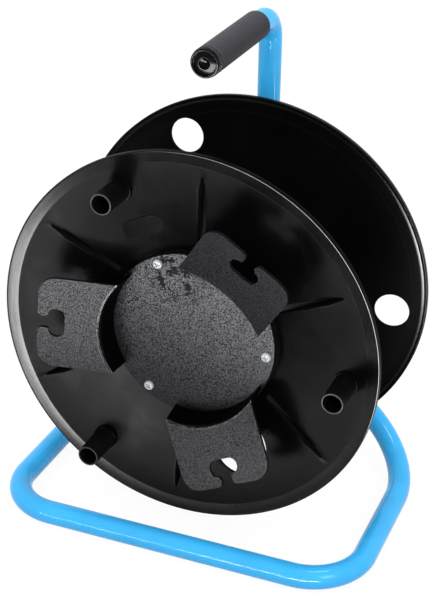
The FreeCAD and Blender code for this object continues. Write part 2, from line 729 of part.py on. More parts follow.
def half_base_path():
    """Middle line of the right half of the base loop, from the front bar to the legs' top."""
    x, y, low, high = side_x.value, post_y.value, tube.value, apex_z.value
    points = [FreeCAD.Vector(0, bar_y.value, low), FreeCAD.Vector(x, bar_y.value, low),
              FreeCAD.Vector(x, y, low), FreeCAD.Vector(0, y, high)]
    mirror_point = FreeCAD.Vector(-x, y, low)
    front_bend = bend(points[0], points[1], points[2], float(sheet.get("base_corner_radius")))
    rear_bend = bend(points[1], points[2], points[3], float(sheet.get("leg_bend_radius")))
    apex_bend = bend(points[2], points[3], mirror_point, float(sheet.get("apex_bend_radius")))
    apex_radius = float(sheet.get("apex_bend_radius"))
    turn = math.radians(QUARTER_TURN - lean.value) / 2
    halfway = FreeCAD.Vector(apex_radius * math.sin(turn), y,
                             apex_bend[1].z - apex_radius * (1 - math.cos(turn)))
    return [
        Part.LineSegment(points[0], front_bend[0]).toShape(),
        Part.Arc(*front_bend).toShape(),
        Part.LineSegment(front_bend[2], rear_bend[0]).toShape(),
        Part.Arc(*rear_bend).toShape(),
        Part.LineSegment(rear_bend[2], apex_bend[0]).toShape(),
        Part.Arc(apex_bend[0], halfway, apex_bend[1]).toShape(),
    ]


base_path = document.addObject("Part::Feature", "base_path")
base_path.Shape = Part.Wire(half_base_path())


def half_base(name, radius):
    """A round rod along the path, started at the middle of the front bar."""
    ring = document.addObject("Part::Circle", name + "_ring")
    ring.Radius = radius.value
    ring.setExpression("Radius", radius.text)
    set_down(0, bar_y, tube, FreeCAD.Rotation(FreeCAD.Vector(0, 1, 0), QUARTER_TURN))(ring)
    rod = document.addObject("Part::Sweep", name)
    rod.Sections = [ring]
    rod.Spine = (base_path, ["Edge%d" % (index + 1) for index in range(6)])
    rod.Solid = True
    rod.Frenet = False
    document.recompute()
    wanted = math.pi * radius.value ** 2 * base_path.Shape.Length
    if abs(rod.Shape.Volume / wanted - 1) > VOLUME_SHARE:
        raise RuntimeError("sweep %s has the wrong volume" % name)
    return rod


VOLUME_SHARE = 0.002


def both_sides(label, item):
    """An object joined with its mirror image across the middle plane."""
    other = document.addObject("Part::Mirroring", label + "_left")
    other.Source = item
    other.Base = (0, 0, 0)
    other.Normal = (1, 0, 0)
    joined = document.addObject("Part::Fuse", label)
    joined.Label = label
    joined.Base = item
    joined.Tool = other
    joined.Refine = True
    return joined


def cut(label, base, tool):
    item = document.addObject("Part::Cut", label)
    item.Label = label
    item.Base = base
    item.Tool = tool
    return item


base_outer = half_base("base_rod", tube)
base_inner = half_base("base_bore", tube_inner)
base_tube = both_sides("base_tube", cut("base_half", base_outer, base_inner))
base_solid = both_sides("base_solid", base_outer)

post_place = set_down(0, post_y, 0, FreeCAD.Rotation())
post = start_body("post_stock", post_place)
tube_end = size("handle_reach") - size("cap_flange")
handle_z = axle_height + flange + size("hand_gap") + size("grip_radius")
handle_bend = size("handle_bend_radius")
post_path = outline(post, "post_path", "YZ_Plane", [
    (0, apex_top),
    (0, handle_z - handle_bend),
    (-handle_bend, handle_z, handle_bend, 1),
    (-tube_end, handle_z),
], closed=False)
post_ring = circles(post, "post_ring", "XY_Plane", [(0, 0, tube), (0, 0, tube_inner)],
                    lift=(0, 0, apex_top))
document.recompute()
post_pipe = feature(post, "PartDesign::AdditivePipe", "post_pipe", post_ring,
                    Spine=(post_path, ["Edge1", "Edge2", "Edge3"]))
document.recompute()
cut_through(post, "bolt_hole",
            circles(post, "bolt_hole_ring", "XZ_Plane", [(0, axle_height, bolt_hole)]),
            size("tube_radius") * 4, both_ways=True)
post_tube = cut("handle_post_tube", post, base_solid)

# Axle: bolt through the post, saddles that fit the tube, sleeve, spacer, washer and lock nut.
post_front = -(half_drum + size("post_gap"))
post_middle = post_front - tube
post_rear = post_front - tube * 2
saddle_front = post_front + size("saddle_thickness")
saddle_rear = post_rear - size("saddle_thickness")
sleeve_front = front_floor + size("bush_flange") + size("axial_play")
nut_seat = sleeve_front + size("washer_thickness")


def ring_piece(label, inner, outer, low, high):
    """A plain ring round the axle."""
    body = start_body(label, axle_place)
    revolve(body, label + "_turned", [(inner, low), (outer, low), (outer, high), (inner, high)])
    return body


def saddle(label, face, inner_end):
    """A round block between the post and a flat face, hollowed to the tube."""
    low, high = sorted((face, inner_end), key=number)
    body = ring_piece(label, bolt_hole, size("saddle_radius"), low, high)
    cut_through(body, label + "_hollow",
                circles(body, label + "_ring", "XZ_Plane", [(0, post_middle, tube)]),
                size("saddle_radius") * 4, both_ways=True)


def hexagon(body, name, height, length, reverse):
    corners = [polar(size("hex_radius"), THIRD_TURN / 2 * step) for step in range(6)]
    profile = outline(body, name + "_outline", "XY_Plane", corners, lift=(0, 0, height))
    return feature(body, "PartDesign::Pad", name, profile, Length=length, Reversed=reverse)


saddle("front_saddle", saddle_front, post_front - size("saddle_wrap"))
saddle("rear_saddle", saddle_rear, post_rear + size("saddle_wrap"))
ring_piece("axle_sleeve", bolt_hole, size("sleeve_radius"), saddle_front, sleeve_front)
spacer_rear = -(rear_plate + size("bush_flange") + size("axial_play"))
ring_piece("axle_spacer", size("sleeve_radius") + size("bush_clearance"), size("spacer_radius"),
           saddle_front, spacer_rear)
ring_piece("axle_washer", bolt_hole, size("washer_radius"), sleeve_front, nut_seat)

bolt = start_body("axle_bolt", axle_place)
hexagon(bolt, "bolt_head", saddle_rear, size("bolt_head"), True)
bolt_tip = nut_seat + size("nut_height") + size("bolt_end")
feature(bolt, "PartDesign::Pad", "bolt_shank",
        circles(bolt, "bolt_ring", "XY_Plane", [(0, 0, size("bolt_radius"))],
                lift=(0, 0, saddle_rear)),
        Length=bolt_tip - saddle_rear)

nut = start_body("axle_nut", axle_place)
hexagon(nut, "nut_hexagon", nut_seat, size("nut_height") - size("nut_collar"), False)
feature(nut, "PartDesign::Pad", "nut_collar_ring",
        circles(nut, "nut_collar_circle", "XY_Plane", [(0, 0, size("hex_radius") * cosine(
            Size(THIRD_TURN / 4, repr(THIRD_TURN / 4))))], lift=(0, 0, nut_seat)),
        Length=size("nut_height"))
cut_through(nut, "nut_bore",
            circles(nut, "nut_bore_ring", "XY_Plane", [(0, 0, size("bolt_radius"))],
                    lift=(0, 0, nut_seat + size("nut_height") + size("cut_overrun"))),
            size("nut_height") + size("cut_overrun") * 2)

# Handle: soft sleeve over the end of the tube and a dished cap in its mouth.
handle_place = set_down(0, post_y, handle_z, FreeCAD.Rotation(FreeCAD.Vector(1, 0, 0),
                                                              QUARTER_TURN))
grip = start_body("handle_grip", handle_place)
outer = size("grip_radius")
edge_round = size("grip_edge")
groove_top = tube_end - size("grip_groove_back")
groove_low = groove_top - size("grip_groove_width")
groove_r = outer - size("grip_groove_depth")
revolve(grip, "grip_turned", [
    (tube + size("fit_gap"), size("grip_start")),
    (outer - edge_round, size("grip_start")),
    (outer, size("grip_start") + edge_round, edge_round, 1),
    (outer, groove_low),
    (groove_r, groove_low),
    (groove_r, groove_top),
    (outer, groove_top),
    (outer, tube_end),
    (tube + size("fit_gap"), tube_end),
])

cap = start_body("grip_end_cap", handle_place)
cap_top = size("handle_reach")
plug_r = tube_inner - size("cap_plug_gap")
dish_low = cap_top - size("cap_dish_depth")
ring_out = size("cap_ring_radius") + size("cap_ring_width")
ring_high = dish_low + size("cap_ring_height")
revolve(cap, "cap_turned", [
    (0, tube_end - size("cap_plug_length")),
    (plug_r, tube_end - size("cap_plug_length")),
    (plug_r, tube_end),
    (size("cap_radius"), tube_end),
    (size("cap_radius"), cap_top - size("cap_edge")),
    (size("cap_radius") - size("cap_edge"), cap_top, size("cap_edge"), 1),
    (size("cap_dish_radius"), cap_top),
    (ring_out, dish_low),
    (ring_out, ring_high),
    (size("cap_ring_radius"), ring_high),
    (size("cap_ring_radius"), dish_low),
    (size("cap_hole_radius"), dish_low),
    (size("cap_hole_radius"), dish_low - size("cap_hole_depth")),
    (0, dish_low - size("cap_hole_depth")),
])

NODES = (
    "front_flange", "rear_flange", "winding_core", "hub_cover", "cover_screws",
    "rear_flange_screws", "peg_upper", "peg_lower", "peg_right", "front_bush", "rear_bush",
    "base_tube", "handle_post_tube", "handle_grip", "grip_end_cap", "axle_bolt", "front_saddle",
    "rear_saddle", "axle_sleeve", "axle_spacer", "axle_washer", "axle_nut",
)


def check_and_write():
    """Every object has to be sound before any file is written."""
    document.recompute()
    for item in document.Objects:
        if {"Invalid", "Error"} & set(item.State):
            raise RuntimeError("%s failed: %s" % (item.Label, item.State))
    shapes = {label: document.getObjectsByLabel(label)[0].Shape for label in NODES}
    for label, shape in shapes.items():
        if shape.isNull() or not shape.isValid() or not shape.Solids:
            raise RuntimeError("%s has no valid solid" % label)
    os.makedirs("parts", exist_ok=True)
    for label, shape in shapes.items():
        shape.exportStep("parts/%s.step" % label)
        box = shape.BoundBox
        print("%-20s solids %d volume %10.1f x %7.1f %7.1f y %7.1f %7.1f z %6.1f %6.1f" % (
            label, len(shape.Solids), shape.Volume,
            box.XMin, box.XMax, box.YMin, box.YMax, box.ZMin, box.ZMax))


check_and_write()
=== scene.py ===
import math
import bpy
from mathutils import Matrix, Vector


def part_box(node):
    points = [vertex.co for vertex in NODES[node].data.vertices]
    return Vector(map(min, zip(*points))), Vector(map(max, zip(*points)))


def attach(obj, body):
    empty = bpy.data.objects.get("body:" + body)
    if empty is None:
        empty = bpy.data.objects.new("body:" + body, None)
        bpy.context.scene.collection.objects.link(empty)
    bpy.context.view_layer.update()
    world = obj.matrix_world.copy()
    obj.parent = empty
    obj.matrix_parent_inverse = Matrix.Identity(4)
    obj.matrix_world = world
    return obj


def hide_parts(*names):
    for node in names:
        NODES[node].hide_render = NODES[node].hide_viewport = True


bl_info = {
    "name": "Cable Drum Dresser",
    "version": (1, 0, 0),
    "blender": (4, 5, 0),
    "location": "3D View > Sidebar > Drum",
    "description": "Builds the looks of an empty cable drum on its steel tube stand",
    "category": "Object",
}

import bmesh
import bpy
from mathutils import Matrix, Vector

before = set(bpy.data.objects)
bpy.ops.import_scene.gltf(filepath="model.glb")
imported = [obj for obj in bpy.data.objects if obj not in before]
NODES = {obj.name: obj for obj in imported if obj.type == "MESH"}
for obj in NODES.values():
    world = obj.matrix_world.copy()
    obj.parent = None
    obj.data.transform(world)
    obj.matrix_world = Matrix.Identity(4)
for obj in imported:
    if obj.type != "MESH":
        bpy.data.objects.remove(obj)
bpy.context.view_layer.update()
MM = 0.001

FRONT_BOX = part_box("front_flange")
REAR_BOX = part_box("rear_flange")
COVER_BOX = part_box("hub_cover")
POST_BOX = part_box("handle_post_tube")
GRIP_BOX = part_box("handle_grip")

# Places in metres.
AXLE_Z = (FRONT_BOX[0][2] + FRONT_BOX[1][2]) / 2
HANDLE_Z = (GRIP_BOX[0][2] + GRIP_BOX[1][2]) / 2
RIM_Y = FRONT_BOX[0][1]
REAR_RIM_Y = REAR_BOX[1][1]
MIDDLE_Y = (RIM_Y + REAR_RIM_Y) / 2
SMUDGE = (-0.012, COVER_BOX[0][1] + 0.028, AXLE_Z + 0.050)

# From here in millimetres. Heights on the drum run along its axle, from the middle between
# the rims, and the rear flange has the front one's measures turned over.
HALF = (REAR_RIM_Y - RIM_Y) / 2 / MM
FLANGE = 155.0
RING = 145.0
RING_DROP = 2.6
LIP = 5.0
WALL = 2.5
PLATE = 71.0
FRONT_PLATE = HALF - 19.3
REAR_PLATE = HALF - 7.5
WELL = 30.0
WELL_FLOOR = FRONT_PLATE - 14.2
BUSH = 13.06
BUSH_LENGTH = 26.0
BOSS = BUSH + 4.0
HOOK_ANGLES = (55.75, 175.75, 295.75)
PEG_ANGLES = (115.75, 235.75, 355.75)
PLUG_HOLE = 22.8
PLUG_PLACE = (42.9, -90.8)
REAR_HOLE = 14.35
REAR_HOLE_CIRCLE = 127.1
PAD_CIRCLE = 94.0
PAD_HALF_LENGTH = 18.0
PAD_HALF_WIDTH = 7.5

CHANNEL_SPREAD = 29.5
CHANNEL_START = 74.0
CHANNEL_TIP = 137.0
CHANNEL_HALF = 2.5
CHANNEL_TIP_HALF = 0.4
CHANNEL_WALL = 1.8

PEG_CIRCLE = 128.4
PEG_SEAT = HALF - 3.8
PEG_TOP = HALF + 26.8
SCREW_CIRCLE = 62.9
COVER = 69.3
COVER_FACE = HALF - 11.8
HOOK_TOP = 67.3
HOOK_HEIGHT = COVER_FACE + 26.0
HOOK_TILT = 15.7
HOOK_HALF = 39.0
HOOK_PLATE = 2.6

TUBE = 9.5
BAR_Y = -108.8
SIDE_X = 150.7
LEG_LEAN = math.radians(55.6)
BASE_BENDS = (45.6, 76.0, 40.0)
POST_FOOT = 101.0
HANDLE_BEND = 20.0
HANDLE_END = 131.5
GRIP_START = 33.0
GRIP_TIP = 137.2

# Corners that are rounded on a flange's profile, counted from the hub plate over the rim.
RIM_ROUNDS = {0: 1.0, 4: 0.6, 5: 0.75, 6: 0.6, 7: 0.4}
ROUND_STEPS = 180

# From each piece's own millimetres to its place.
WORLD = Matrix.Scale(MM, 4)
TO_FRONT = Matrix.Rotation(math.radians(90), 4, "X")
POST_Y = POST_BOX[1][1] - TUBE * MM
DRUM = Matrix.Translation((0, MIDDLE_Y, AXLE_Z)) @ TO_FRONT @ WORLD
HANDLE = Matrix.Translation((0, POST_Y, HANDLE_Z)) @ TO_FRONT @ WORLD


def length(name, description, millimetres):
    """A size that a user may change: a length property whose default is in millimetres."""
    return bpy.props.FloatProperty(name=name, description=description, default=millimetres * MM,
                                   unit="LENGTH", precision=5)


def tint(name, description, colour):
    """A colour that a user may change."""
    return bpy.props.FloatVectorProperty(name=name, description=description, default=colour,
                                         subtype="COLOR", size=3, min=0, max=1)


class DrumSizes(bpy.types.PropertyGroup):
    """Sizes of the drum's and the frame's looks."""

    edge_round: length("Edge rounding", "Rounding of moulded edges", 0.6)
    grain: length("Cover grain", "Size of the grain on the hub cover", 0.82)
    fine_grain: length("Flange grain", "Size of the texture on the flanges", 0.7)


class DrumColours(bpy.types.PropertyGroup):
    """Colours of the finishes."""

    flange: tint("Flange", "Front flange's plastic", (0.0018, 0.0018, 0.0021))
    rear: tint("Rear flange", "Rear flange's plastic", (0.0018, 0.0018, 0.0020))
    cover: tint("Hub cover", "Grained plastic of the cover and hooks", (0.0050, 0.0050, 0.0062))
    peg: tint("Pegs", "Smooth black plastic", (0.0030, 0.0030, 0.0030))
    paint: tint("Frame paint", "Powder coat of the tubes", (0.038, 0.385, 0.77))
    grip: tint("Grip", "Soft sleeve of the handle", (0.0085, 0.0085, 0.0105))
    cap: tint("Grip cap", "Glossy cap", (0.003, 0.003, 0.0035))
    zinc: tint("Zinc", "Bright axle bolt", (0.20, 0.22, 0.25))
    screw: tint("Screws", "Dull zinc of the screws", (0.37, 0.39, 0.41))
    bush: tint("Bush", "Bearing plastic", (0.55, 0.54, 0.50))


class Value:
    """A shader socket that can be used in sums; each sum adds its Math node."""

    def __init__(self, finish, socket):
        self.finish = finish
        self.socket = socket

    def math(self, operation, *others, flip=False):
        items = [self] + list(others)
        if flip:
            items.reverse()
        inputs = {index: item for index, item in enumerate(items)}
        return self.finish.node("ShaderNodeMath", {"operation": operation}, inputs)

    def __add__(self, other):
        return self.math("ADD", other)

    def __radd__(self, other):
        return self.math("ADD", other, flip=True)

    def __sub__(self, other):
        return self.math("SUBTRACT", other)

    def __rsub__(self, other):
        return self.math("SUBTRACT", other, flip=True)

    def __mul__(self, other):
        return self.math("MULTIPLY", other)

    def __rmul__(self, other):
        return self.math("MULTIPLY", other, flip=True)

    def __truediv__(self, other):
        return self.math("DIVIDE", other)

    def __pow__(self, other):
        return self.math("POWER", other)

    def ramp(self, low, high, to_low=0.0, to_high=1.0):
        """The value taken smoothly from one range to another."""
        return self.finish.node("ShaderNodeMapRange", {"interpolation_type": "SMOOTHSTEP"}, {
            "Value": self, "From Min": low, "From Max": high, "To Min": to_low, "To Max": to_high})

    def band(self, low, high, soft):
        """1 between two values, 0 outside, with soft sides."""
        return self.ramp(low - soft, low) * self.ramp(high, high + soft, 1.0, 0.0)


class Finish:
    """A material under construction on Object coordinates."""

    def __init__(self, name):
        self.material = bpy.data.materials.new(name)
        self.material.use_nodes = True
        self.tree = self.material.node_tree
        self.shader = self.tree.nodes["Principled BSDF"]
        self.place = Value(self, self.add("ShaderNodeTexCoord").outputs["Object"])

    def add(self, kind):
        return self.tree.nodes.new(kind)

    def node(self, kind, settings=None, inputs=None, output=0):
        """One node: its settings first, then its sockets' values or links."""
        item = self.add(kind)
        for key, value in (settings or {}).items():
            setattr(item, key, value)
        for key, value in (inputs or {}).items():
            self.feed(item.inputs[key], value)
        return Value(self, item.outputs[output])

    def feed(self, socket, value):
        if isinstance(value, Value):
            self.tree.links.new(value.socket, socket)
        else:
            socket.default_value = value

    def noise(self, size, detail=2.0, rough=0.5, place=None, stretch=None):
        """Noise whose features are about this large, in metres."""
        where = place or self.place
        if stretch:
            where = self.node("ShaderNodeMapping", {}, {"Vector": where, "Scale": stretch})
        return self.node("ShaderNodeTexNoise", {}, {
            "Vector": where, "Scale": 1 / size, "Detail": detail, "Roughness": rough})

    def cells(self, size):
        """Rounded cells about this large, in metres."""
        return self.node("ShaderNodeTexVoronoi", {"feature": "SMOOTH_F1"}, {
            "Vector": self.place, "Scale": 1 / size, "Smoothness": 0.4})

    def axis(self, name):
        """One coordinate of the place on the object."""
        number = "XYZ".index(name)
        return self.node("ShaderNodeSeparateXYZ", {}, {0: self.place}, output=number)

    def from_axle(self):
        """Distance from the axle's line."""
        across = self.axis("X")
        up = self.axis("Z") - AXLE_Z
        return (across * across + up * up) ** 0.5

    def lip(self, rim, side, at_face, behind):
        """Painted highlight lines on the rounded edges of a rim, at its outer face and behind it,
        right and above.
        """
        inward = (self.axis("Y") - rim) * -side
        # The painted highlight lines are full within 0.3 mm of each edge and fade out by 0.8 mm.
        depth, rubbed, highlight_fade = LIP * MM, 0.3 * MM, 0.8 * MM
        edges = (inward.ramp(highlight_fade, rubbed) * at_face
                 + inward.ramp(depth - highlight_fade, depth - rubbed) * behind)
        aside = self.axis("X") * 0.82 + (self.axis("Z") - AXLE_Z) * 0.57
        outermost = self.from_axle().ramp((FLANGE - 1.0) * MM, (FLANGE - 0.6) * MM)
        return outermost * edges * aside.ramp(0.045, 0.125)

    def around(self, radius, stretch):
        """Places on circles about the axle, for streaks that run round it."""
        turn = self.axis("X").math("ARCTAN2", self.axis("Z") - AXLE_Z)
        return self.node("ShaderNodeCombineXYZ", {}, {0: radius, 1: turn * stretch})

    def below(self, side, plate):
        """Depth below a flange's outer face; the side is -1 at the front and 1 at the rear."""
        slope = (HALF - RING_DROP - plate) / (RING - PLATE)
        radius = self.from_axle().math("MAXIMUM", PLATE * MM)
        height = (self.axis("Y") - MIDDLE_Y) * side
        return (HALF - RING_DROP) * MM - (RING * MM - radius) * slope - height

    def pad(self):
        """Distance out from the middle line of the oval pad."""
        turn = math.radians(PEG_ANGLES[0])
        up = self.axis("Z") - AXLE_Z
        out = self.axis("X") * math.cos(turn) + up * math.sin(turn) - PAD_CIRCLE * MM
        along = up * math.cos(turn) - self.axis("X") * math.sin(turn)
        straight = (PAD_HALF_LENGTH - PAD_HALF_WIDTH) * MM
        ends = (along.math("ABSOLUTE") - straight).math("MAXIMUM", 0.0)
        return (out * out + ends * ends) ** 0.5

    def away(self, point):
        """Distance from a point on the object."""
        return self.node("ShaderNodeVectorMath", {"operation": "DISTANCE"},
                         {0: self.place, 1: point}, output=1)

    def blend(self, factor, first, second):
        """Two colours mixed by a mask."""
        item = self.add("ShaderNodeMix")
        item.data_type = "RGBA"
        self.feed(item.inputs[0], factor)
        for socket, colour in ((item.inputs[6], first), (item.inputs[7], second)):
            self.feed(socket, colour if isinstance(colour, Value) else (*colour, 1.0))
        return Value(self, item.outputs[2])

    def bump(self, height, strength, distance):
        """Relief of this strength; the distance is in metres."""
        return self.node("ShaderNodeBump", {}, {
            "Height": height, "Strength": strength, "Distance": distance})

    def finish(self, **sockets):
        """Feed the shader's sockets, such as base_color, and give back the material."""
        for name, value in sockets.items():
            key = name.replace("_", " ").title().replace("Ior", "IOR")
            self.feed(self.shader.inputs[key], value)
        return self.material


def shade(colour, factor):
    """A colour made darker or lighter."""
    return tuple(min(1.0, part * factor) for part in colour)


def tones(finish, colour, low, high, size, detail=4.0):
    """A colour that drifts between a darker and a lighter tone."""
    drift = finish.noise(size, detail)
    return finish.blend(drift.ramp(0.3, 0.7), shade(colour, low), shade(colour, high))


def flange_finish(colour):
    """Dark moulded plastic: a fine texture on the web and a smooth, glossy ring at the rim."""
    finish = Finish("flange_plastic_front")
    radius = finish.from_axle()
    sizes = bpy.context.scene.drum_sizes
    ring = (radius.ramp((RING + 0.2) * MM, (RING + 0.7) * MM)
            * radius.ramp((FLANGE - 1.8) * MM, (FLANGE - 1.1) * MM, 1.0, 0.0))
    pad = finish.pad()
    line_start, line_end = (PAD_HALF_WIDTH - 0.3) * MM, (PAD_HALF_WIDTH + 0.5) * MM
    line = pad.band(line_start, line_end, 0.0004)
    # Painted light: the web's back and the channels' insides get a five times paler, rougher copy
    # of the plastic than its front.
    painted_light_below = (finish.below(-1, FRONT_PLATE).ramp(0.0006, 0.0014)
            * radius.band((CHANNEL_START + 2) * MM, CHANNEL_TIP * MM, 0.001))
    haze = finish.noise(0.035, detail=6, rough=0.6).ramp(0.48, 0.72)
    streaks = finish.noise(0.004, detail=4, rough=0.65, place=finish.around(radius, 0.014))
    up = finish.axis("Z") - AXLE_Z
    # Painted sheen: the ring's gloss is weaker towards the top and stronger at the very bottom.
    gloss_shift = up.ramp(0.070, 0.150, 1.0, 0.4) * up.ramp(-0.150, -0.125, 1.35, 1.0)
    polish = radius.ramp((RING + 0.5) * MM, FLANGE * MM, 0.106, 0.056)
    shine = ring * polish * streaks.ramp(0.3, 0.7, 0.72, 1.12) * gloss_shift + haze * 0.007
    # Painted highlight: a thin glossier band just inside the pad's outline.
    shine = (shine + pad.ramp(line_start - 0.0004, line_start, 0.010, 0.0)) * (1 - line)
    colours = tones(finish, colour, low=0.8, high=1.3, size=0.03)
    dust = finish.noise(0.006, detail=6).ramp(0.55, 0.9)
    scuffs = finish.noise(0.012, detail=5, rough=0.65, stretch=(1, 1, 0.2)).ramp(0.62, 0.74)
    base = finish.blend(dust * 0.2 + scuffs * 0.2, colours, shade(colour, 2.6))
    # The five times paler copy on the back and in the channels is painted light.
    base = finish.blend(painted_light_below, base, shade(colour, 5))
    grain = finish.noise(sizes.fine_grain, detail=3, rough=0.6)
    relief = grain * (1 - ring * 0.92)
    drift = finish.noise(0.02, detail=4).ramp(0.3, 0.7, -0.03, 0.04)
    rough = 0.19 + drift + scuffs * 0.08 + line * 0.5 + painted_light_below * 0.5
    # The coat also carries painted highlight lines on the rim's upper right edges.
    return finish.finish(base_color=base, roughness=rough, specular_ior_level=0.0057,
                         coat_weight=shine + finish.lip(RIM_Y, -1, 0.22, 1.0), coat_roughness=0.11,
                         normal=finish.bump(relief, 0.3, 0.0003))


def rear_finish(colour):
    """Nearly black smooth plastic with a faint circular step, drawn by a bump and a painted
    highlight band.
    """
    finish = Finish("flange_plastic_rear")
    radius = finish.from_axle()
    # The faint step is a bump with a painted highlight band, a paler copy of the plastic.
    step = radius.band((RING - 3.5) * MM, (RING - 2.5) * MM, 0.0006)
    base = tones(finish, colour, low=0.8, high=1.3, size=0.05)
    base = finish.blend(step * 0.4, base, shade(colour, 2.5))
    grain = finish.noise(0.0009, detail=3)
    # Painted light and shade: the outer side gets a five times paler, glossier copy of the plastic
    # than the near-black inner side between the flanges.
    back = finish.below(1, REAR_PLATE).ramp(0.0008, 0.0016, 1.0, 0.0)
    haze = finish.noise(0.03, detail=5, rough=0.6).ramp(0.35, 0.7, 0.92, 1.08)
    base = finish.blend(back, base, shade(colour, 5))
    # Painted highlight lines on the rim's upper right edges, and gloss on the paler outer side.
    shine = finish.lip(REAR_RIM_Y, 1, 1.0, 0.15) + back * haze * 0.5
    return finish.finish(base_color=base, roughness=0.42 + grain * 0.06, specular_ior_level=0.004,
                         coat_weight=shine, coat_roughness=0.22,
                         normal=finish.bump(grain + step, 0.12, 0.0003))


def cover_finish(colour):
    """Coarse pebbled grain, as cast from a spark-eroded mould."""
    finish = Finish("cover_plastic")
    sizes = bpy.context.scene.drum_sizes
    cells = finish.cells(sizes.grain)
    grit = finish.noise(sizes.grain * 0.8, detail=2, rough=0.6)
    spread = grit.ramp(0.45, 0.55) * 0.9 + cells.ramp(0.1, 0.5, 0.2, 0.0)
    base = finish.blend(spread, shade(colour, 0.1), shade(colour, 2.4))
    pale = finish.noise(0.02, detail=5).ramp(0.5, 0.8)
    base = finish.blend(pale * 0.2, base, shade(colour, 1.8))
    rough = 0.34 + grit * 0.12
    near = finish.away(SMUDGE).ramp(0.018, 0.034, 1.0, 0.0)
    smudge = finish.noise(0.007, detail=6, rough=0.7).ramp(0.50, 0.56) * near
    raised = MIDDLE_Y - COVER_FACE * MM - finish.axis("Y")
    plates = raised.ramp(0.0203, 0.0213)
    # Painted shade: the hooks' curved walls get a near-black copy of the plastic and little gloss.
    walls = raised.ramp(0.0004, 0.0010) * (1 - plates)
    base = finish.blend(walls * 0.85, base, shade(colour, 0.05))
    # Painted highlight: extra gloss along the inner arc edge of each hook plate.
    arc = finish.from_axle().ramp((HOOK_TOP + 0.9) * MM, (HOOK_TOP + 0.6) * MM) * plates
    gloss = (1.2 - walls * 1.15 - plates * 0.40) * (1 - smudge) + arc * 2
    return finish.finish(base_color=base, roughness=rough, specular_ior_level=0.004,
                         coat_weight=spread * gloss * 0.06, coat_roughness=0.29,
                         normal=finish.bump(grit - cells, 0.45, 0.0006))


def peg_finish(colour):
    """Smooth black plastic, a little paler on the cut mouth."""
    finish = Finish("peg_plastic")
    end = MIDDLE_Y - PEG_TOP * MM
    mouth = finish.axis("Y").ramp(end + 0.0010, end + 0.0004)
    grain = finish.noise(0.0008, detail=3)
    base = tones(finish, colour, low=0.8, high=1.4, size=0.01)
    base = finish.blend(mouth, base, (0.026, 0.026, 0.028))
    return finish.finish(base_color=base, roughness=0.40 + grain * 0.08, specular_ior_level=0.018,
                         normal=finish.bump(grain, 0.15, 0.0003))


def core_finish(colour):
    """Black plastic with fine lines round it, rubbed by cable."""
    finish = Finish("core_plastic")
    grain = finish.noise(0.0009, detail=3)
    lines = (finish.axis("Y") * 700).math("SINE").ramp(0.2, 1.0)
    base = tones(finish, colour, low=3.0, high=5.0, size=0.02)
    base = finish.blend(lines * 0.2, base, shade(colour, 8.0))
    return finish.finish(base_color=base, roughness=0.5 + grain * 0.1, specular_ior_level=0.03,
                         coat_weight=0.15 + grain * 0.1, coat_roughness=0.3,
                         normal=finish.bump(grain + lines * 0.2, 0.2, 0.0003))


def paint_finish(colour):
    """Glossy powder coat with a slight orange peel."""
    finish = Finish("blue_powder_coat")
    peel = finish.noise(0.0028, detail=2, rough=0.4)
    specks = finish.noise(0.0011, detail=2).ramp(0.72, 0.78)
    rubbed = finish.noise(0.02, detail=6, rough=0.6).ramp(0.60, 0.75)
    base = tones(finish, colour, low=0.94, high=1.06, size=0.04)
    base = finish.blend(specks * 0.15 + rubbed * 0.05, base, shade(colour, 1.35))
    rough = 0.07 + peel * 0.05 + rubbed * 0.06
    return finish.finish(base_color=base, roughness=rough, specular_ior_level=0.2,
                         normal=finish.bump(peel, 0.1, 0.0003))


def grip_finish(colour):
    """Soft satin sleeve, polished a little where the hand rubs."""
    finish = Finish("grip_rubber")
    grain = finish.noise(0.0007, detail=4, rough=0.6)
    gloss_shift = finish.noise(0.012, detail=5).ramp(0.5, 0.8)
    # Painted light: pale specks, six and a half times paler than the sleeve, on its upper left
    # side.
    upper = (finish.axis("Z") - HANDLE_Z - finish.axis("X") * 0.4).ramp(-0.010, 0.011, 0.0, 0.85)
    specks = finish.noise(0.0011, detail=3, rough=0.7).ramp(0.45, 0.6, 0.55, 1.2)
    base = tones(finish, colour, low=0.85, high=1.2, size=0.01)
    base = finish.blend(gloss_shift * 0.3, base, shade(colour, 1.8))
    base = finish.blend(upper * specks, base, shade(colour, 6.5))
    return finish.finish(base_color=base, roughness=0.42 + grain * 0.1 - gloss_shift * 0.05,
                         specular_ior_level=0.06, normal=finish.bump(grain, 0.4, 0.0004))


def cap_finish(colour):
    """Glossy black plastic."""
    finish = Finish("cap_gloss")
    fine = finish.noise(0.0012, detail=3)
    base = tones(finish, colour, low=0.8, high=1.3, size=0.006)
    return finish.finish(base_color=base, roughness=0.14 + fine * 0.06, specular_ior_level=0.03,
                         normal=finish.bump(fine, 0.05, 0.0002))


def zinc_finish(name, colour, metallic):
    """Zinc plate with dull spots."""
    finish = Finish(name)
    brushed = finish.noise(0.0006, detail=4, rough=0.6, stretch=(1, 1, 4))
    spots = finish.noise(0.003, detail=5).ramp(0.5, 0.7)
    base = finish.blend(spots * 0.4, colour, shade(colour, 0.7))
    return finish.finish(base_color=base, metallic=metallic, roughness=0.26 + brushed * 0.12,
                         specular_ior_level=0.05, normal=finish.bump(brushed, 0.15, 0.0002))


def bush_finish(colour):
    """Pale bearing plastic."""
    finish = Finish("bearing_plastic")
    grain = finish.noise(0.0009, detail=3)
    return finish.finish(base_color=tones(finish, colour, low=0.9, high=1.1, size=0.01),
                         roughness=0.45 + grain * 0.1, normal=finish.bump(grain, 0.15, 0.0003))


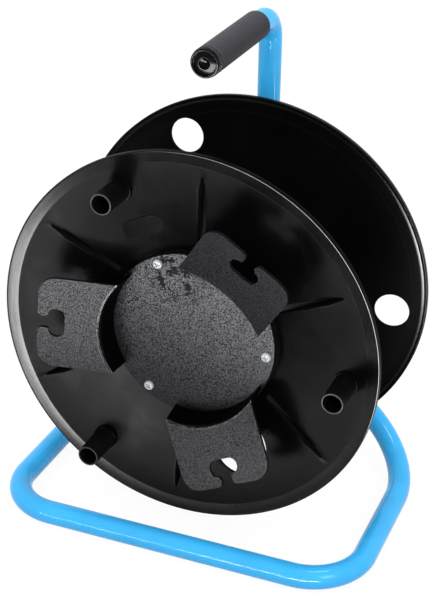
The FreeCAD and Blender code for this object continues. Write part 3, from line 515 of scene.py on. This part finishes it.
def saddle_finish(colour):
    """Plain black plastic."""
    finish = Finish("saddle_plastic")
    grain = finish.noise(0.0008, detail=3)
    return finish.finish(base_color=tones(finish, colour, low=0.8, high=1.4, size=0.008),
                         roughness=0.5 + grain * 0.1, specular_ior_level=0.3,
                         normal=finish.bump(grain, 0.2, 0.0003))


def web(radius, plate_height=FRONT_PLATE):
    """Height of a flange's outer face at this radius."""
    return HALF - RING_DROP - (RING - radius) * (HALF - RING_DROP - plate_height) / (RING - PLATE)


def turned(degrees):
    """Turned about Z."""
    return Matrix.Rotation(math.radians(degrees), 4, "Z")


def leant(degrees):
    """Turned about Y so that the outer end rises."""
    return Matrix.Rotation(-math.radians(degrees), 4, "Y")


def shift(x, y, z):
    """Moved by this much."""
    return Matrix.Translation((x, y, z))


def tidy_up(mesh):
    """Merge points that coincide and turn every face outward."""
    bmesh.ops.remove_doubles(mesh, verts=mesh.verts, dist=0.001)
    bmesh.ops.recalc_face_normals(mesh, faces=mesh.faces)
    return mesh


def round_corner(mesh, verts, amount, segments=4):
    """Round corners of an outline."""
    bmesh.ops.bevel(mesh, geom=verts, offset=amount, offset_type="OFFSET", segments=segments,
                    profile=0.5, affect="VERTICES", material=-1)


def break_edges(mesh, edges, amount, segments=2):
    """Bevel these edges."""
    bmesh.ops.bevel(mesh, geom=edges, offset=amount, offset_type="OFFSET", segments=segments,
                    profile=0.5, affect="EDGES", clamp_overlap=True, material=-1)


def lathe(points, rounds=None, *, steps, sweep=360.0):
    """Turn a closed profile of radius and height about Z, some of its corners rounded first."""
    mesh = bmesh.new()
    verts = [mesh.verts.new((radius, 0, height)) for radius, height in points]
    for pair in zip(verts, verts[1:] + verts[:1]):
        if pair[0].co.x + pair[1].co.x > 0:
            mesh.edges.new(pair)
    for index, amount in (rounds or {}).items():
        round_corner(mesh, [verts[index]], amount)
    full = sweep == 360.0
    bmesh.ops.rotate(mesh, verts=mesh.verts, matrix=turned(0 if full else -sweep / 2))
    bmesh.ops.spin(mesh, geom=mesh.verts[:] + mesh.edges[:], cent=(0, 0, 0), axis=(0, 0, 1),
                   dvec=(0, 0, 0), angle=math.radians(sweep), steps=steps, use_merge=full,
                   use_duplicate=False)
    if not full:
        bmesh.ops.holes_fill(mesh, edges=[edge for edge in mesh.edges if edge.is_boundary])
    return tidy_up(mesh)


def thicken(mesh, height):
    """Raise every face of a flat outline into a solid."""
    made = bmesh.ops.extrude_face_region(mesh, geom=mesh.faces[:])["geom"]
    moved = [item for item in made if isinstance(item, bmesh.types.BMVert)]
    bmesh.ops.translate(mesh, verts=moved, vec=(0, 0, height))


def slab(corners, thickness, round_by, segments=8):
    """A plate of this thickness below an outline with rounded corners."""
    mesh = bmesh.new()
    verts = [mesh.verts.new((x, y, 0)) for x, y in corners]
    mesh.faces.new(verts)
    for vert in verts:
        round_corner(mesh, [vert], round_by, segments)
    thicken(mesh, -thickness)
    return tidy_up(mesh)


def edges_over(mesh, degrees):
    """Edges whose two faces meet at more than this angle."""
    return [edge for edge in mesh.edges
            if len(edge.link_faces) == 2 and edge.calc_face_angle() > math.radians(degrees)]


def trim(mesh, place, facing):
    """Cut away what lies beyond a plane and close the cut."""
    cut = bmesh.ops.bisect_plane(mesh, geom=mesh.verts[:] + mesh.edges[:] + mesh.faces[:],
                                 plane_co=place, plane_no=facing, clear_outer=True)
    rim = [item for item in cut["geom_cut"] if isinstance(item, bmesh.types.BMEdge)]
    bmesh.ops.holes_fill(mesh, edges=rim)


def loft(sections):
    """A closed shape through loops that have equal numbers of points."""
    mesh = bmesh.new()
    loops = []
    for points in sections:
        verts = [mesh.verts.new(point) for point in points]
        loops.append([mesh.edges.new(pair) for pair in zip(verts, verts[1:] + verts[:1])])
    for pair in zip(loops, loops[1:]):
        bmesh.ops.bridge_loops(mesh, edges=pair[0] + pair[1])
    for loop in (loops[0], loops[-1]):
        bmesh.ops.contextual_create(mesh, geom=loop)
    return tidy_up(mesh)


def stored(mesh, name="shape"):
    """Keep a shape as mesh data; the shape itself is used up."""
    data = bpy.data.meshes.new(name)
    mesh.to_mesh(data)
    mesh.free()
    return data


def shown(name, data):
    """A new object in the scene with this data."""
    item = bpy.data.objects.new(name, data)
    bpy.context.scene.collection.objects.link(item)
    return item


def placed(mesh, *turns):
    """Copies of a shape, one for each matrix, in one mesh; the shape itself is used up."""
    data = stored(mesh)
    whole = bmesh.new()
    for turn in turns:
        before = len(whole.verts)
        whole.from_mesh(data)
        whole.verts.ensure_lookup_table()
        bmesh.ops.transform(whole, matrix=turn, verts=whole.verts[before:])
    bpy.data.meshes.remove(data)
    return whole


def together(*meshes):
    """Several shapes in one mesh."""
    whole = bmesh.new()
    for mesh in meshes:
        data = stored(mesh)
        whole.from_mesh(data)
        bpy.data.meshes.remove(data)
    return whole


def combine(base, tool, operation):
    """Two closed shapes joined (UNION) or one cut from the other (DIFFERENCE)."""
    items = [shown("shape", stored(mesh)) for mesh in (base, tool)]
    change = items[0].modifiers.new("change", "BOOLEAN")
    change.object = items[1]
    change.operation = operation
    change.solver = "EXACT"
    change.use_self = True
    result = bmesh.new()
    result.from_object(items[0], bpy.context.evaluated_depsgraph_get())
    for item in items:
        data = item.data
        bpy.data.objects.remove(item)
        bpy.data.meshes.remove(data)
    bmesh.ops.remove_doubles(result, verts=result.verts, dist=0.0005)
    return result


def wrap_up(name, mesh, body, material, node, place, sharp_above=38):
    """Turn a shape into a finished piece that rides on a body and stands for a CAD node."""
    bmesh.ops.transform(mesh, matrix=place, verts=mesh.verts)
    data = stored(mesh, name)
    for polygon in data.polygons:
        polygon.use_smooth = True
    data.set_sharp_from_angle(angle=math.radians(sharp_above))
    data.materials.append(material)
    piece = shown(name, data)
    normals = piece.modifiers.new("even_normals", "WEIGHTED_NORMAL")
    normals.keep_sharp = True
    normals.weight = 90
    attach(piece, body)
    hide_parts(node)


def dress_copy(node, body, material, edge=0.0):
    """A merged copy of a CAD node's mesh, its edges broken when an edge size is given, in place of
    the node.
    """
    mesh = bmesh.new()
    mesh.from_mesh(NODES[node].data)
    bmesh.ops.transform(mesh, matrix=Matrix.Scale(1 / MM, 4), verts=mesh.verts)
    bmesh.ops.remove_doubles(mesh, verts=mesh.verts, dist=0.002)
    if edge:
        flat = [item for item in mesh.edges
                if len(item.link_faces) == 2 and item.calc_face_angle() < math.radians(0.05)]
        bmesh.ops.dissolve_edges(mesh, edges=flat, use_verts=True)
        break_edges(mesh, edges_over(mesh, 40), edge)
    wrap_up(node + "_skin", mesh, body, material, node, WORLD)


def dish_profile(plate_height, inner):
    """Profile of a flange from its hub plate out over the rim and back on the inner side."""
    slope = RING_DROP / (FLANGE - RING)
    steps = [(radius, web(radius, plate_height)) for radius in (90.0, 110.0, 130.0)]
    backs = [(radius, height - WALL) for radius, height in reversed(steps)]
    return [(PLATE, plate_height)] + steps + [
        (RING, HALF - RING_DROP), (FLANGE, HALF), (FLANGE, HALF - LIP),
        (FLANGE - WALL, HALF - LIP), (FLANGE - WALL, HALF - slope * WALL - WALL),
        (RING, HALF - RING_DROP - WALL)] + backs + [(PLATE, plate_height - WALL)] + inner


def channel_section(radius, half, low, margin, rise):
    """Cross section of a channel: a flat floor, upright walls and broken upper edges."""
    top = web(radius)
    if rise is None:
        return [(radius, -half - margin, low), (radius, half + margin, low),
                (radius, half + margin, top - WALL / 2), (radius, -half - margin, top - WALL / 2)]
    shoulder = max(top - 1.1, low + 0.05)
    bend = max(top - 0.35, low + 0.1)
    side = [(radius, half, low), (radius, half, shoulder), (radius, half + 0.3, bend),
            (radius, half + 1.3, top + rise)]
    return side + [(x, -y, z) for x, y, z in reversed(side)]


def channels(margin=0.0, rise=None):
    """The six tapering channels, or the walls that hold them behind the web."""
    low = FRONT_PLATE - (0 if rise else WALL)
    stations = [(CHANNEL_START - margin, CHANNEL_HALF)]
    stations += [(radius, CHANNEL_HALF) for radius in (90.0, 106.0, 122.0)]
    stations += [(CHANNEL_TIP + margin, CHANNEL_TIP_HALF)]
    shape = loft([channel_section(radius, half, low, margin, rise) for radius, half in stations])
    if not rise:
        break_edges(shape, [edge for edge in shape.edges
                            if all(vert.co.z < low + 0.01 for vert in edge.verts)], 0.5)
    turns = [turned(angle + side * CHANNEL_SPREAD) for angle in HOOK_ANGLES for side in (-1, 1)]
    return placed(shape, *turns)


def peg_seats():
    """Round seats that carry the pegs."""
    radius, foot = 10, PEG_SEAT - 7.6
    seat = lathe([(0, foot), (radius, foot), (radius, PEG_SEAT), (0, PEG_SEAT)],
                 {1: 0.5, 2: 0.7}, steps=48)
    return placed(seat, *[turned(angle) @ shift(PEG_CIRCLE, 0, 0) for angle in PEG_ANGLES])


def oval_pad():
    """The bare oval pad, which stands a little proud of the web."""
    wide, long, rise = PAD_HALF_WIDTH, PAD_HALF_LENGTH, 1.1
    pad = slab([(-wide, -long), (wide, -long), (wide, long), (-wide, long)], 2.0, wide - 0.01)
    break_edges(pad, [edge for edge in pad.edges
                      if all(vert.co.z > -0.01 for vert in edge.verts)], 0.3)
    tilt = math.degrees(math.atan2(web(RING) - web(PLATE), RING - PLATE))
    place = shift(PAD_CIRCLE, 0, web(PAD_CIRCLE) + rise) @ leant(tilt)
    return placed(pad, turned(PEG_ANGLES[0]) @ place)


def front_flange():
    """Dished web with a turned rim, channels, peg seats, an oval pad and the plug hole."""
    dish = lathe(dish_profile(FRONT_PLATE, [
        (WELL + WALL, FRONT_PLATE - WALL), (WELL + WALL, WELL_FLOOR - WALL),
        (BOSS, WELL_FLOOR - WALL), (BOSS, WELL_FLOOR - BUSH_LENGTH),
        (BUSH, WELL_FLOOR - BUSH_LENGTH), (BUSH, WELL_FLOOR), (WELL, WELL_FLOOR),
        (WELL, FRONT_PLATE)]), RIM_ROUNDS, steps=ROUND_STEPS)
    mesh = combine(dish, channels(CHANNEL_WALL), "UNION")
    mesh = combine(mesh, together(peg_seats(), oval_pad()), "UNION")
    low, high = FRONT_PLATE - 9, HALF + 2
    plug = lathe([(0, low), (PLUG_HOLE, low), (PLUG_HOLE, high), (0, high)], steps=72)
    plug = placed(plug, shift(*PLUG_PLACE, 0))
    return combine(mesh, together(channels(rise=0.35), plug), "DIFFERENCE")


def rear_flange():
    """The same rim, a flatter dish and three round holes; its faint step is only drawn in its
    finish.
    """
    profile = [(x, -y) for x, y in dish_profile(REAR_PLATE, [
        (BOSS, REAR_PLATE - WALL), (BOSS, REAR_PLATE - BUSH_LENGTH),
        (BUSH, REAR_PLATE - BUSH_LENGTH), (BUSH, REAR_PLATE)])]
    dish = lathe(profile, RIM_ROUNDS, steps=ROUND_STEPS)
    land, flare, reach = 0.8, REAR_HOLE + 1.75, 3
    hole = lathe([(0, -reach), (flare, -reach), (REAR_HOLE, -land), (REAR_HOLE, land),
                  (flare, reach), (0, reach)], {2: 0.5, 3: 0.5}, steps=64)
    tilt = math.degrees(math.atan2(REAR_PLATE - HALF + RING_DROP, RING - PLATE))
    place = shift(REAR_HOLE_CIRCLE, 0, WALL / 2 - web(REAR_HOLE_CIRCLE, REAR_PLATE)) @ leant(tilt)
    holes = placed(hole, *[turned(angle) @ place for angle in PEG_ANGLES])
    return combine(dish, holes, "DIFFERENCE")


def hook_plate():
    """The leaning plate of a hook: its inner edge is an arc, its outer edge opens into a slot."""
    reach, half, neck, slot = 47.3, HOOK_HALF, 4.7, 12.15
    far = reach - 9.0
    near = far - 12.4
    outer, mouth, inside = 14.5, 4.49, 6.19
    mesh = bmesh.new()
    first = mesh.verts.new((math.sqrt(HOOK_TOP ** 2 - half ** 2) - HOOK_TOP, half, 0))
    sweep = 2 * math.asin(half / HOOK_TOP)
    bmesh.ops.spin(mesh, geom=[first], cent=(-HOOK_TOP, 0, 0), axis=(0, 0, 1), dvec=(0, 0, 0),
                   angle=-sweep, steps=36, use_merge=False, use_duplicate=False)
    arc = sorted(mesh.verts, key=lambda vert: -vert.co.y)
    bmesh.ops.delete(mesh, geom=mesh.edges[:], context="EDGES_FACES")
    corners = [(reach, -half), (reach, -neck), (far, -neck), (far, -slot), (near, -slot),
               (near, slot), (far, slot), (far, neck), (reach, neck), (reach, half)]
    rest = [mesh.verts.new((x, y, 0)) for x, y in corners]
    mesh.faces.new(arc + rest)
    amounts = (outer, mouth, mouth, inside, inside, inside, inside, mouth, mouth, outer)
    for vert, amount in zip(rest, amounts):
        round_corner(mesh, [vert], amount, 8)
    thicken(mesh, -HOOK_PLATE)
    tidy_up(mesh)
    break_edges(mesh, edges_over(mesh, 50), 0.7, 3)
    return mesh


def hook():
    """One cable hook: a curved wall that leans out under a leaning plate."""
    foot, outward = COVER_FACE - 1.2, 2.0
    inner, outer = HOOK_TOP, HOOK_TOP + WALL
    wall = lathe([(inner - outward, foot), (outer - outward, foot), (outer, HOOK_HEIGHT),
                  (inner, HOOK_HEIGHT)], steps=38, sweep=76.0)
    lean = shift(HOOK_TOP, 0, HOOK_HEIGHT) @ leant(HOOK_TILT)
    facing = lean.to_3x3() @ Vector((0, 0, 1))
    trim(wall, lean @ Vector((0, 0, -HOOK_PLATE / 2)), facing)
    trim(wall, (0, HOOK_HALF, 0), (0, 1, 0))
    trim(wall, (0, -HOOK_HALF, 0), (0, -1, 0))
    return combine(placed(hook_plate(), lean), tidy_up(wall), "UNION")


def hub_cover():
    """Shallow cap with three hooks; its edges are slightly rounded."""
    inside, ceiling = COVER - WALL, COVER_FACE - WALL
    cap = lathe([(0, ceiling), (inside, ceiling), (inside, FRONT_PLATE), (COVER, FRONT_PLATE),
                 (COVER, COVER_FACE), (0, COVER_FACE)], {4: 0.8}, steps=ROUND_STEPS)
    hooks = placed(hook(), *[turned(angle) for angle in HOOK_ANGLES])
    return combine(cap, hooks, "UNION")


def peg():
    """A hollow peg with a slight taper, a solid foot and a spigot in its seat."""
    spigot, foot, mouth, bore = 6, 9, 8.5, 7.3
    low, floor = PEG_SEAT - 6, PEG_SEAT + 4
    return lathe([(0, low), (spigot, low), (spigot, PEG_SEAT), (foot, PEG_SEAT), (mouth, PEG_TOP),
                  (bore, PEG_TOP), (bore, floor), (0, floor)],
                 {3: 0.3, 4: 0.5, 5: 0.35, 6: 1.2}, steps=72)


def screws(height, facing):
    """Three screws with rounded heads and cross recesses."""
    shank, wide, flat = 2, 3.9, 3.0
    tip, top = height - 8, height + 2.2
    recess = (4.8, 1.3, 3.0)
    head = lathe([(0, tip), (shank, tip), (shank, height), (wide, height), (wide, top - 0.9),
                  (flat, top), (0, top + 0.12)], {4: 0.5, 5: 0.5}, steps=40)
    bars = []
    for turn in (0, 90):
        bar = bmesh.new()
        bmesh.ops.create_cube(bar, size=1.0)
        bmesh.ops.scale(bar, verts=bar.verts, vec=recess)
        bars.append(placed(bar, turned(turn) @ shift(0, 0, top)))
    single = combine(head, combine(*bars, "UNION"), "DIFFERENCE")
    flip = Matrix.Scale(facing, 4, (0, 0, 1))
    whole = placed(single, *[flip @ turned(angle) @ shift(SCREW_CIRCLE, 0, 0) @ turned(20 + angle)
                             for angle in PEG_ANGLES])
    bmesh.ops.recalc_face_normals(whole, faces=whole.faces)
    return whole


class Pipe:
    """A round tube drawn along runs and bends from a first ring."""

    def __init__(self, start, ahead, sides=48):
        self.mesh = bmesh.new()
        self.end = Vector(start)
        self.ahead = Vector(ahead).normalized()
        turn = self.ahead.to_track_quat("Z", "Y").to_matrix().to_4x4()
        bmesh.ops.create_circle(self.mesh, cap_ends=False, radius=TUBE, segments=sides,
                                matrix=Matrix.Translation(self.end) @ turn)
        self.rim = self.mesh.edges[:]

    def run(self, amount, pieces=1):
        """Go straight on by this much."""
        for _ in range(pieces):
            made = bmesh.ops.extrude_edge_only(self.mesh, edges=self.rim)["geom"]
            verts = [item for item in made if isinstance(item, bmesh.types.BMVert)]
            bmesh.ops.translate(self.mesh, verts=verts, vec=self.ahead * amount / pieces)
            self.rim = [item for item in made if isinstance(item, bmesh.types.BMEdge)
                        and all(vert in verts for vert in item.verts)]
        self.end = self.end + self.ahead * amount

    def bend(self, towards, radius, steps=16):
        """Turn into another direction on an arc of this radius."""
        towards = Vector(towards).normalized()
        axis = self.ahead.cross(towards).normalized()
        centre = self.end + axis.cross(self.ahead) * radius
        angle = self.ahead.angle(towards)
        ring = list({vert for edge in self.rim for vert in edge.verts})
        made = bmesh.ops.spin(self.mesh, geom=ring + self.rim, cent=centre, axis=axis,
                              dvec=(0, 0, 0), angle=angle, steps=steps, use_merge=False,
                              use_duplicate=False)
        self.rim = [item for item in made["geom_last"] if isinstance(item, bmesh.types.BMEdge)]
        self.end = centre + Matrix.Rotation(angle, 3, axis) @ (self.end - centre)
        self.ahead = towards


def base_loop():
    """Front bar, side rails and the legs that meet under the post, as one endless tube."""
    post_y = POST_Y / MM
    corner, leg, apex = BASE_BENDS
    leg_way = Vector((-math.sin(LEG_LEAN), 0, math.cos(LEG_LEAN)))
    leg_turn = math.tan(Vector((0, 1, 0)).angle(leg_way) / 2) * leg
    apex_turn = math.tan(math.pi / 2 - LEG_LEAN) * apex
    leg_run = SIDE_X / math.sin(LEG_LEAN) - leg_turn - apex_turn
    pipe = Pipe((0, BAR_Y, TUBE), (1, 0, 0))
    pipe.run(SIDE_X - corner, 2)
    pipe.bend((0, 1, 0), corner, 20)
    pipe.run(post_y - BAR_Y - corner - leg_turn, 2)
    pipe.bend(leg_way, leg, 28)
    pipe.run(leg_run)
    pipe.bend((-1, 0, 0), apex, 10)
    mesh = pipe.mesh
    bmesh.ops.mirror(mesh, geom=mesh.verts[:] + mesh.edges[:] + mesh.faces[:], axis="X",
                     merge_dist=0.01, mirror_u=False)
    return tidy_up(mesh)


def post_and_handle():
    """The upright post, its bend and the part of the handle inside the grip."""
    pipe = Pipe((0, POST_Y / MM, POST_FOOT), (0, 0, 1))
    pipe.run(HANDLE_Z / MM - HANDLE_BEND - POST_FOOT, 3)
    pipe.bend((0, -1, 0), HANDLE_BEND, 16)
    pipe.run(HANDLE_END - HANDLE_BEND)
    bmesh.ops.holes_fill(pipe.mesh, edges=[edge for edge in pipe.mesh.edges if edge.is_boundary])
    return tidy_up(pipe.mesh)


def grip():
    """Soft sleeve with a narrow groove behind its end."""
    inner, outer, groove = TUBE + 0.05, 11.6, 10.9
    back, front = GRIP_TIP - 3.4, GRIP_TIP - 2.2
    return lathe([(inner, GRIP_START), (outer, GRIP_START), (outer, back), (groove, back),
                  (groove, front), (outer, front), (outer, GRIP_TIP), (inner, GRIP_TIP)],
                 {1: 1.0, 2: 0.3, 5: 0.25, 6: 0.5}, steps=80)


def grip_cap():
    """Round cap on the handle's mouth, with a domed dish and a sunk middle."""
    tip, plug, outer = GRIP_TIP, 7.9, 11.2
    top = tip + 3.2
    low = top - 1.6
    return lathe([(0, tip - 4), (plug, tip - 4), (plug, tip), (outer, tip), (outer, top),
                  (9.6, top), (9.1, low - 0.4), (7.8, low + 0.3), (6.4, low + 0.8),
                  (5.2, low + 1.15), (4.4, low + 1.2), (4.2, low - 0.6), (1.6, low - 2.2),
                  (0, low - 2.4)], {4: 1.1, 5: 0.4, 6: 0.3, 10: 0.15}, steps=80)


class DRUM_OT_stage(bpy.types.Operator):
    """Floor, lamps, world and camera"""

    bl_idname = "drum.stage"
    bl_label = "Set the stage"

    def execute(self, context):
        self.floor()
        self.lamps()
        self.world()
        self.camera()
        context.scene.view_settings.view_transform = "Standard"
        return {"FINISHED"}

    def floor(self):
        mesh = bmesh.new()
        bmesh.ops.create_grid(mesh, x_segments=2, y_segments=2, size=6.0)
        floor = shown("floor", stored(mesh, "floor"))
        floor.location.z = -0.2 * MM
        finish = Finish("pale_floor")
        finish.finish(base_color=(0.6, 0.6, 0.6, 1.0), roughness=0.7, specular_ior_level=0.2)
        rays = finish.add("ShaderNodeLightPath")
        seen = Value(finish, rays.outputs["Is Camera Ray"])
        for other in ("Is Glossy Ray", "Is Transmission Ray"):
            seen = seen.math("MAXIMUM", Value(finish, rays.outputs[other]))
        glow = finish.node("ShaderNodeEmission", {}, {"Color": (1, 1, 1, 1), "Strength": 1.06})
        cover = finish.node("ShaderNodeMixShader", {}, {
            0: seen * 0.88, 1: Value(finish, finish.shader.outputs[0]), 2: glow})
        finish.feed(finish.tree.nodes["Material Output"].inputs["Surface"], cover)
        floor.data.materials.append(finish.material)

    def lamps(self):
        upward = Vector((0, 0, 1))
        drum = Vector((0, 0, 0.2))
        middle = Vector((0.06, -0.963, 0.003))
        beside = Vector((0.80, -0.134, 0.003))
        back = Vector((-0.9, 1.4, 1.2))
        left = Vector((-1.3, -0.9, 0.9))
        right = Vector((1.4, -1.2, 1.1))
        above = Vector((0.3, 0.1, 1.9))
        for name, place, facing, size, power, turn, soft, gleam in (
                ("front_soft", middle, upward, (0.9, 1.24), 10, 25, True, False),
                ("front_gleam", middle + upward * MM, upward, (0.9, 1.24), 400, 25, False, True),
                ("back_soft", back, drum - back, (0.8, 0.8), 5, 0, True, False),
                ("side_gleam", beside, upward, (0.36, 0.16), 3, -15.7, False, True),
                ("left_soft", left, drum - left, (0.7, 0.9), 7, 0, True, False),
                ("top_soft", above, drum - above, (0.5, 0.5), 9, 0, True, True),
                ("right_soft", right, drum - right, (0.7, 0.9), 13, 0, True, True)):
            lamp = bpy.data.lights.new(name, "AREA")
            lamp.shape = "RECTANGLE"
            lamp.size, lamp.size_y = size
            lamp.energy = power
            item = shown(name, lamp)
            way = facing.to_track_quat("-Z", "Y").to_matrix().to_4x4()
            item.matrix_world = Matrix.Translation(place) @ turned(turn) @ way
            item.visible_diffuse = soft
            item.visible_glossy = gleam
            item.visible_camera = False

    def world(self):
        world = bpy.data.worlds.new("studio")
        world.use_nodes = True
        bpy.context.scene.world = world
        tree = world.node_tree
        around = tree.nodes["Background"]
        behind = tree.nodes.new("ShaderNodeBackground")
        for item in (around, behind):
            item.inputs["Color"].default_value = (1, 1, 1, 1)
            item.inputs["Strength"].default_value = 1.0
        rays = tree.nodes.new("ShaderNodeLightPath")
        seen = rays.outputs["Is Camera Ray"]
        for other in ("Is Glossy Ray", "Is Transmission Ray"):
            either = tree.nodes.new("ShaderNodeMath")
            either.operation = "MAXIMUM"
            tree.links.new(seen, either.inputs[0])
            tree.links.new(rays.outputs[other], either.inputs[1])
            seen = either.outputs[0]
        mix = tree.nodes.new("ShaderNodeMixShader")
        for source, socket in zip((seen, around.outputs[0], behind.outputs[0]), mix.inputs):
            tree.links.new(source, socket)
        tree.links.new(mix.outputs[0], tree.nodes["World Output"].inputs["Surface"])

    def camera(self):
        data = bpy.data.cameras.new("view_camera")
        data.sensor_fit = "VERTICAL"
        focal_pixels, picture_height = 1476.3, 597
        data.sensor_height = 36.0
        data.lens = data.sensor_height * focal_pixels / picture_height
        data.clip_end = 50
        camera = shown("view_camera", data)
        right = Vector((0.92669, 0.37556, 0.01407))
        down = Vector((0.18211, -0.41598, -0.89095))
        ahead = Vector((-0.32875, 0.82820, -0.45388))
        turn = Matrix((right, -down, -ahead)).transposed().to_4x4()
        place = Vector((0.38944, -0.91393 + RIM_Y, 0.54433 + AXLE_Z))
        camera.matrix_world = Matrix.Translation(place) @ turn
        bpy.context.scene.camera = camera


class DRUM_OT_flanges(bpy.types.Operator):
    """Both flanges and the winding core between them"""

    bl_idname = "drum.flanges"
    bl_label = "Build flanges and core"

    def execute(self, context):
        colours = context.scene.drum_colours
        wrap_up("front_flange_skin", front_flange(), "drum",
                flange_finish(colours.flange), "front_flange", DRUM)
        wrap_up("rear_flange_skin", rear_flange(), "drum",
                rear_finish(colours.rear), "rear_flange", DRUM)
        dress_copy("winding_core", "drum", core_finish(colours.rear))
        return {"FINISHED"}


class DRUM_OT_cover(bpy.types.Operator):
    """Grained hub cover with its three hooks, and the screws"""

    bl_idname = "drum.cover"
    bl_label = "Build cover and screws"

    def execute(self, context):
        colours = context.scene.drum_colours
        wrap_up("hub_cover_skin", hub_cover(), "drum",
                cover_finish(colours.cover), "hub_cover", DRUM)
        zinc = zinc_finish("dull_zinc", colours.screw, 0.0)
        wrap_up("cover_screws_skin", screws(COVER_FACE, 1), "drum", zinc,
                "cover_screws", DRUM)
        wrap_up("rear_screws_skin", screws(REAR_PLATE, -1), "drum", zinc,
                "rear_flange_screws", DRUM)
        return {"FINISHED"}


class DRUM_OT_pegs(bpy.types.Operator):
    """Three hollow pegs"""

    bl_idname = "drum.pegs"
    bl_label = "Build pegs"

    def execute(self, context):
        black = peg_finish(context.scene.drum_colours.peg)
        for node, angle in zip(("peg_upper", "peg_lower", "peg_right"), PEG_ANGLES):
            wrap_up(node + "_skin", peg(), "drum", black, node,
                    DRUM @ turned(angle) @ shift(PEG_CIRCLE, 0, 0))
        return {"FINISHED"}


class DRUM_OT_axle(bpy.types.Operator):
    """Bushes, sleeve, spacer, saddles, bolt, washer and nut"""

    bl_idname = "drum.axle"
    bl_label = "Build axle"

    def execute(self, context):
        colours = context.scene.drum_colours
        edge = context.scene.drum_sizes.edge_round / MM
        bush = bush_finish(colours.bush)
        for node in ("front_bush", "rear_bush"):
            dress_copy(node, "drum", bush)
        zinc = zinc_finish("bright_zinc", colours.zinc, 1.0)
        for node in ("axle_nut", "axle_washer", "axle_sleeve"):
            dress_copy(node, "frame", zinc)
        dress_copy("axle_bolt", "frame", zinc, edge)
        saddle = saddle_finish(colours.flange)
        dress_copy("axle_spacer", "frame", saddle)
        for node in ("front_saddle", "rear_saddle"):
            dress_copy(node, "frame", saddle, edge)
        return {"FINISHED"}


class DRUM_OT_frame(bpy.types.Operator):
    """Blue tube frame: base loop, post and handle"""

    bl_idname = "drum.frame_tubes"
    bl_label = "Build tube frame"

    def execute(self, context):
        paint = paint_finish(context.scene.drum_colours.paint)
        wrap_up("base_tube_skin", base_loop(), "frame", paint, "base_tube", WORLD)
        wrap_up("handle_post_skin", post_and_handle(), "frame", paint,
                "handle_post_tube", WORLD)
        return {"FINISHED"}


class DRUM_OT_grip(bpy.types.Operator):
    """Soft grip and its glossy end cap"""

    bl_idname = "drum.grip"
    bl_label = "Build grip and cap"

    def execute(self, context):
        colours = context.scene.drum_colours
        wrap_up("handle_grip_skin", grip(), "frame", grip_finish(colours.grip),
                "handle_grip", HANDLE)
        wrap_up("grip_end_cap_skin", grip_cap(), "frame", cap_finish(colours.cap),
                "grip_end_cap", HANDLE)
        return {"FINISHED"}


class DRUM_PT_panel(bpy.types.Panel):
    """Lists the steps that build the drum"""

    bl_idname = "DRUM_PT_panel"
    bl_label = "Cable drum"
    bl_space_type = "VIEW_3D"
    bl_region_type = "UI"
    bl_category = "Drum"

    def draw(self, context):
        for step in STEPS:
            self.layout.operator(step.bl_idname)
        for group in (context.scene.drum_sizes, context.scene.drum_colours):
            for name in group.__annotations__:
                self.layout.prop(group, name)


STEPS = (DRUM_OT_stage, DRUM_OT_flanges, DRUM_OT_cover, DRUM_OT_pegs, DRUM_OT_axle,
         DRUM_OT_frame, DRUM_OT_grip)
CLASSES = (DrumSizes, DrumColours) + STEPS + (DRUM_PT_panel,)


def register():
    for item in CLASSES:
        bpy.utils.register_class(item)
    bpy.types.Scene.drum_sizes = bpy.props.PointerProperty(type=DrumSizes)
    bpy.types.Scene.drum_colours = bpy.props.PointerProperty(type=DrumColours)


def unregister():
    del bpy.types.Scene.drum_sizes
    del bpy.types.Scene.drum_colours
    for item in reversed(CLASSES):
        bpy.utils.unregister_class(item)


def main():
    register()
    bpy.ops.drum.stage()
    bpy.ops.drum.flanges()
    bpy.ops.drum.cover()
    bpy.ops.drum.pegs()
    bpy.ops.drum.axle()
    bpy.ops.drum.frame_tubes()
    bpy.ops.drum.grip()


if __name__ == "__main__":
    main()
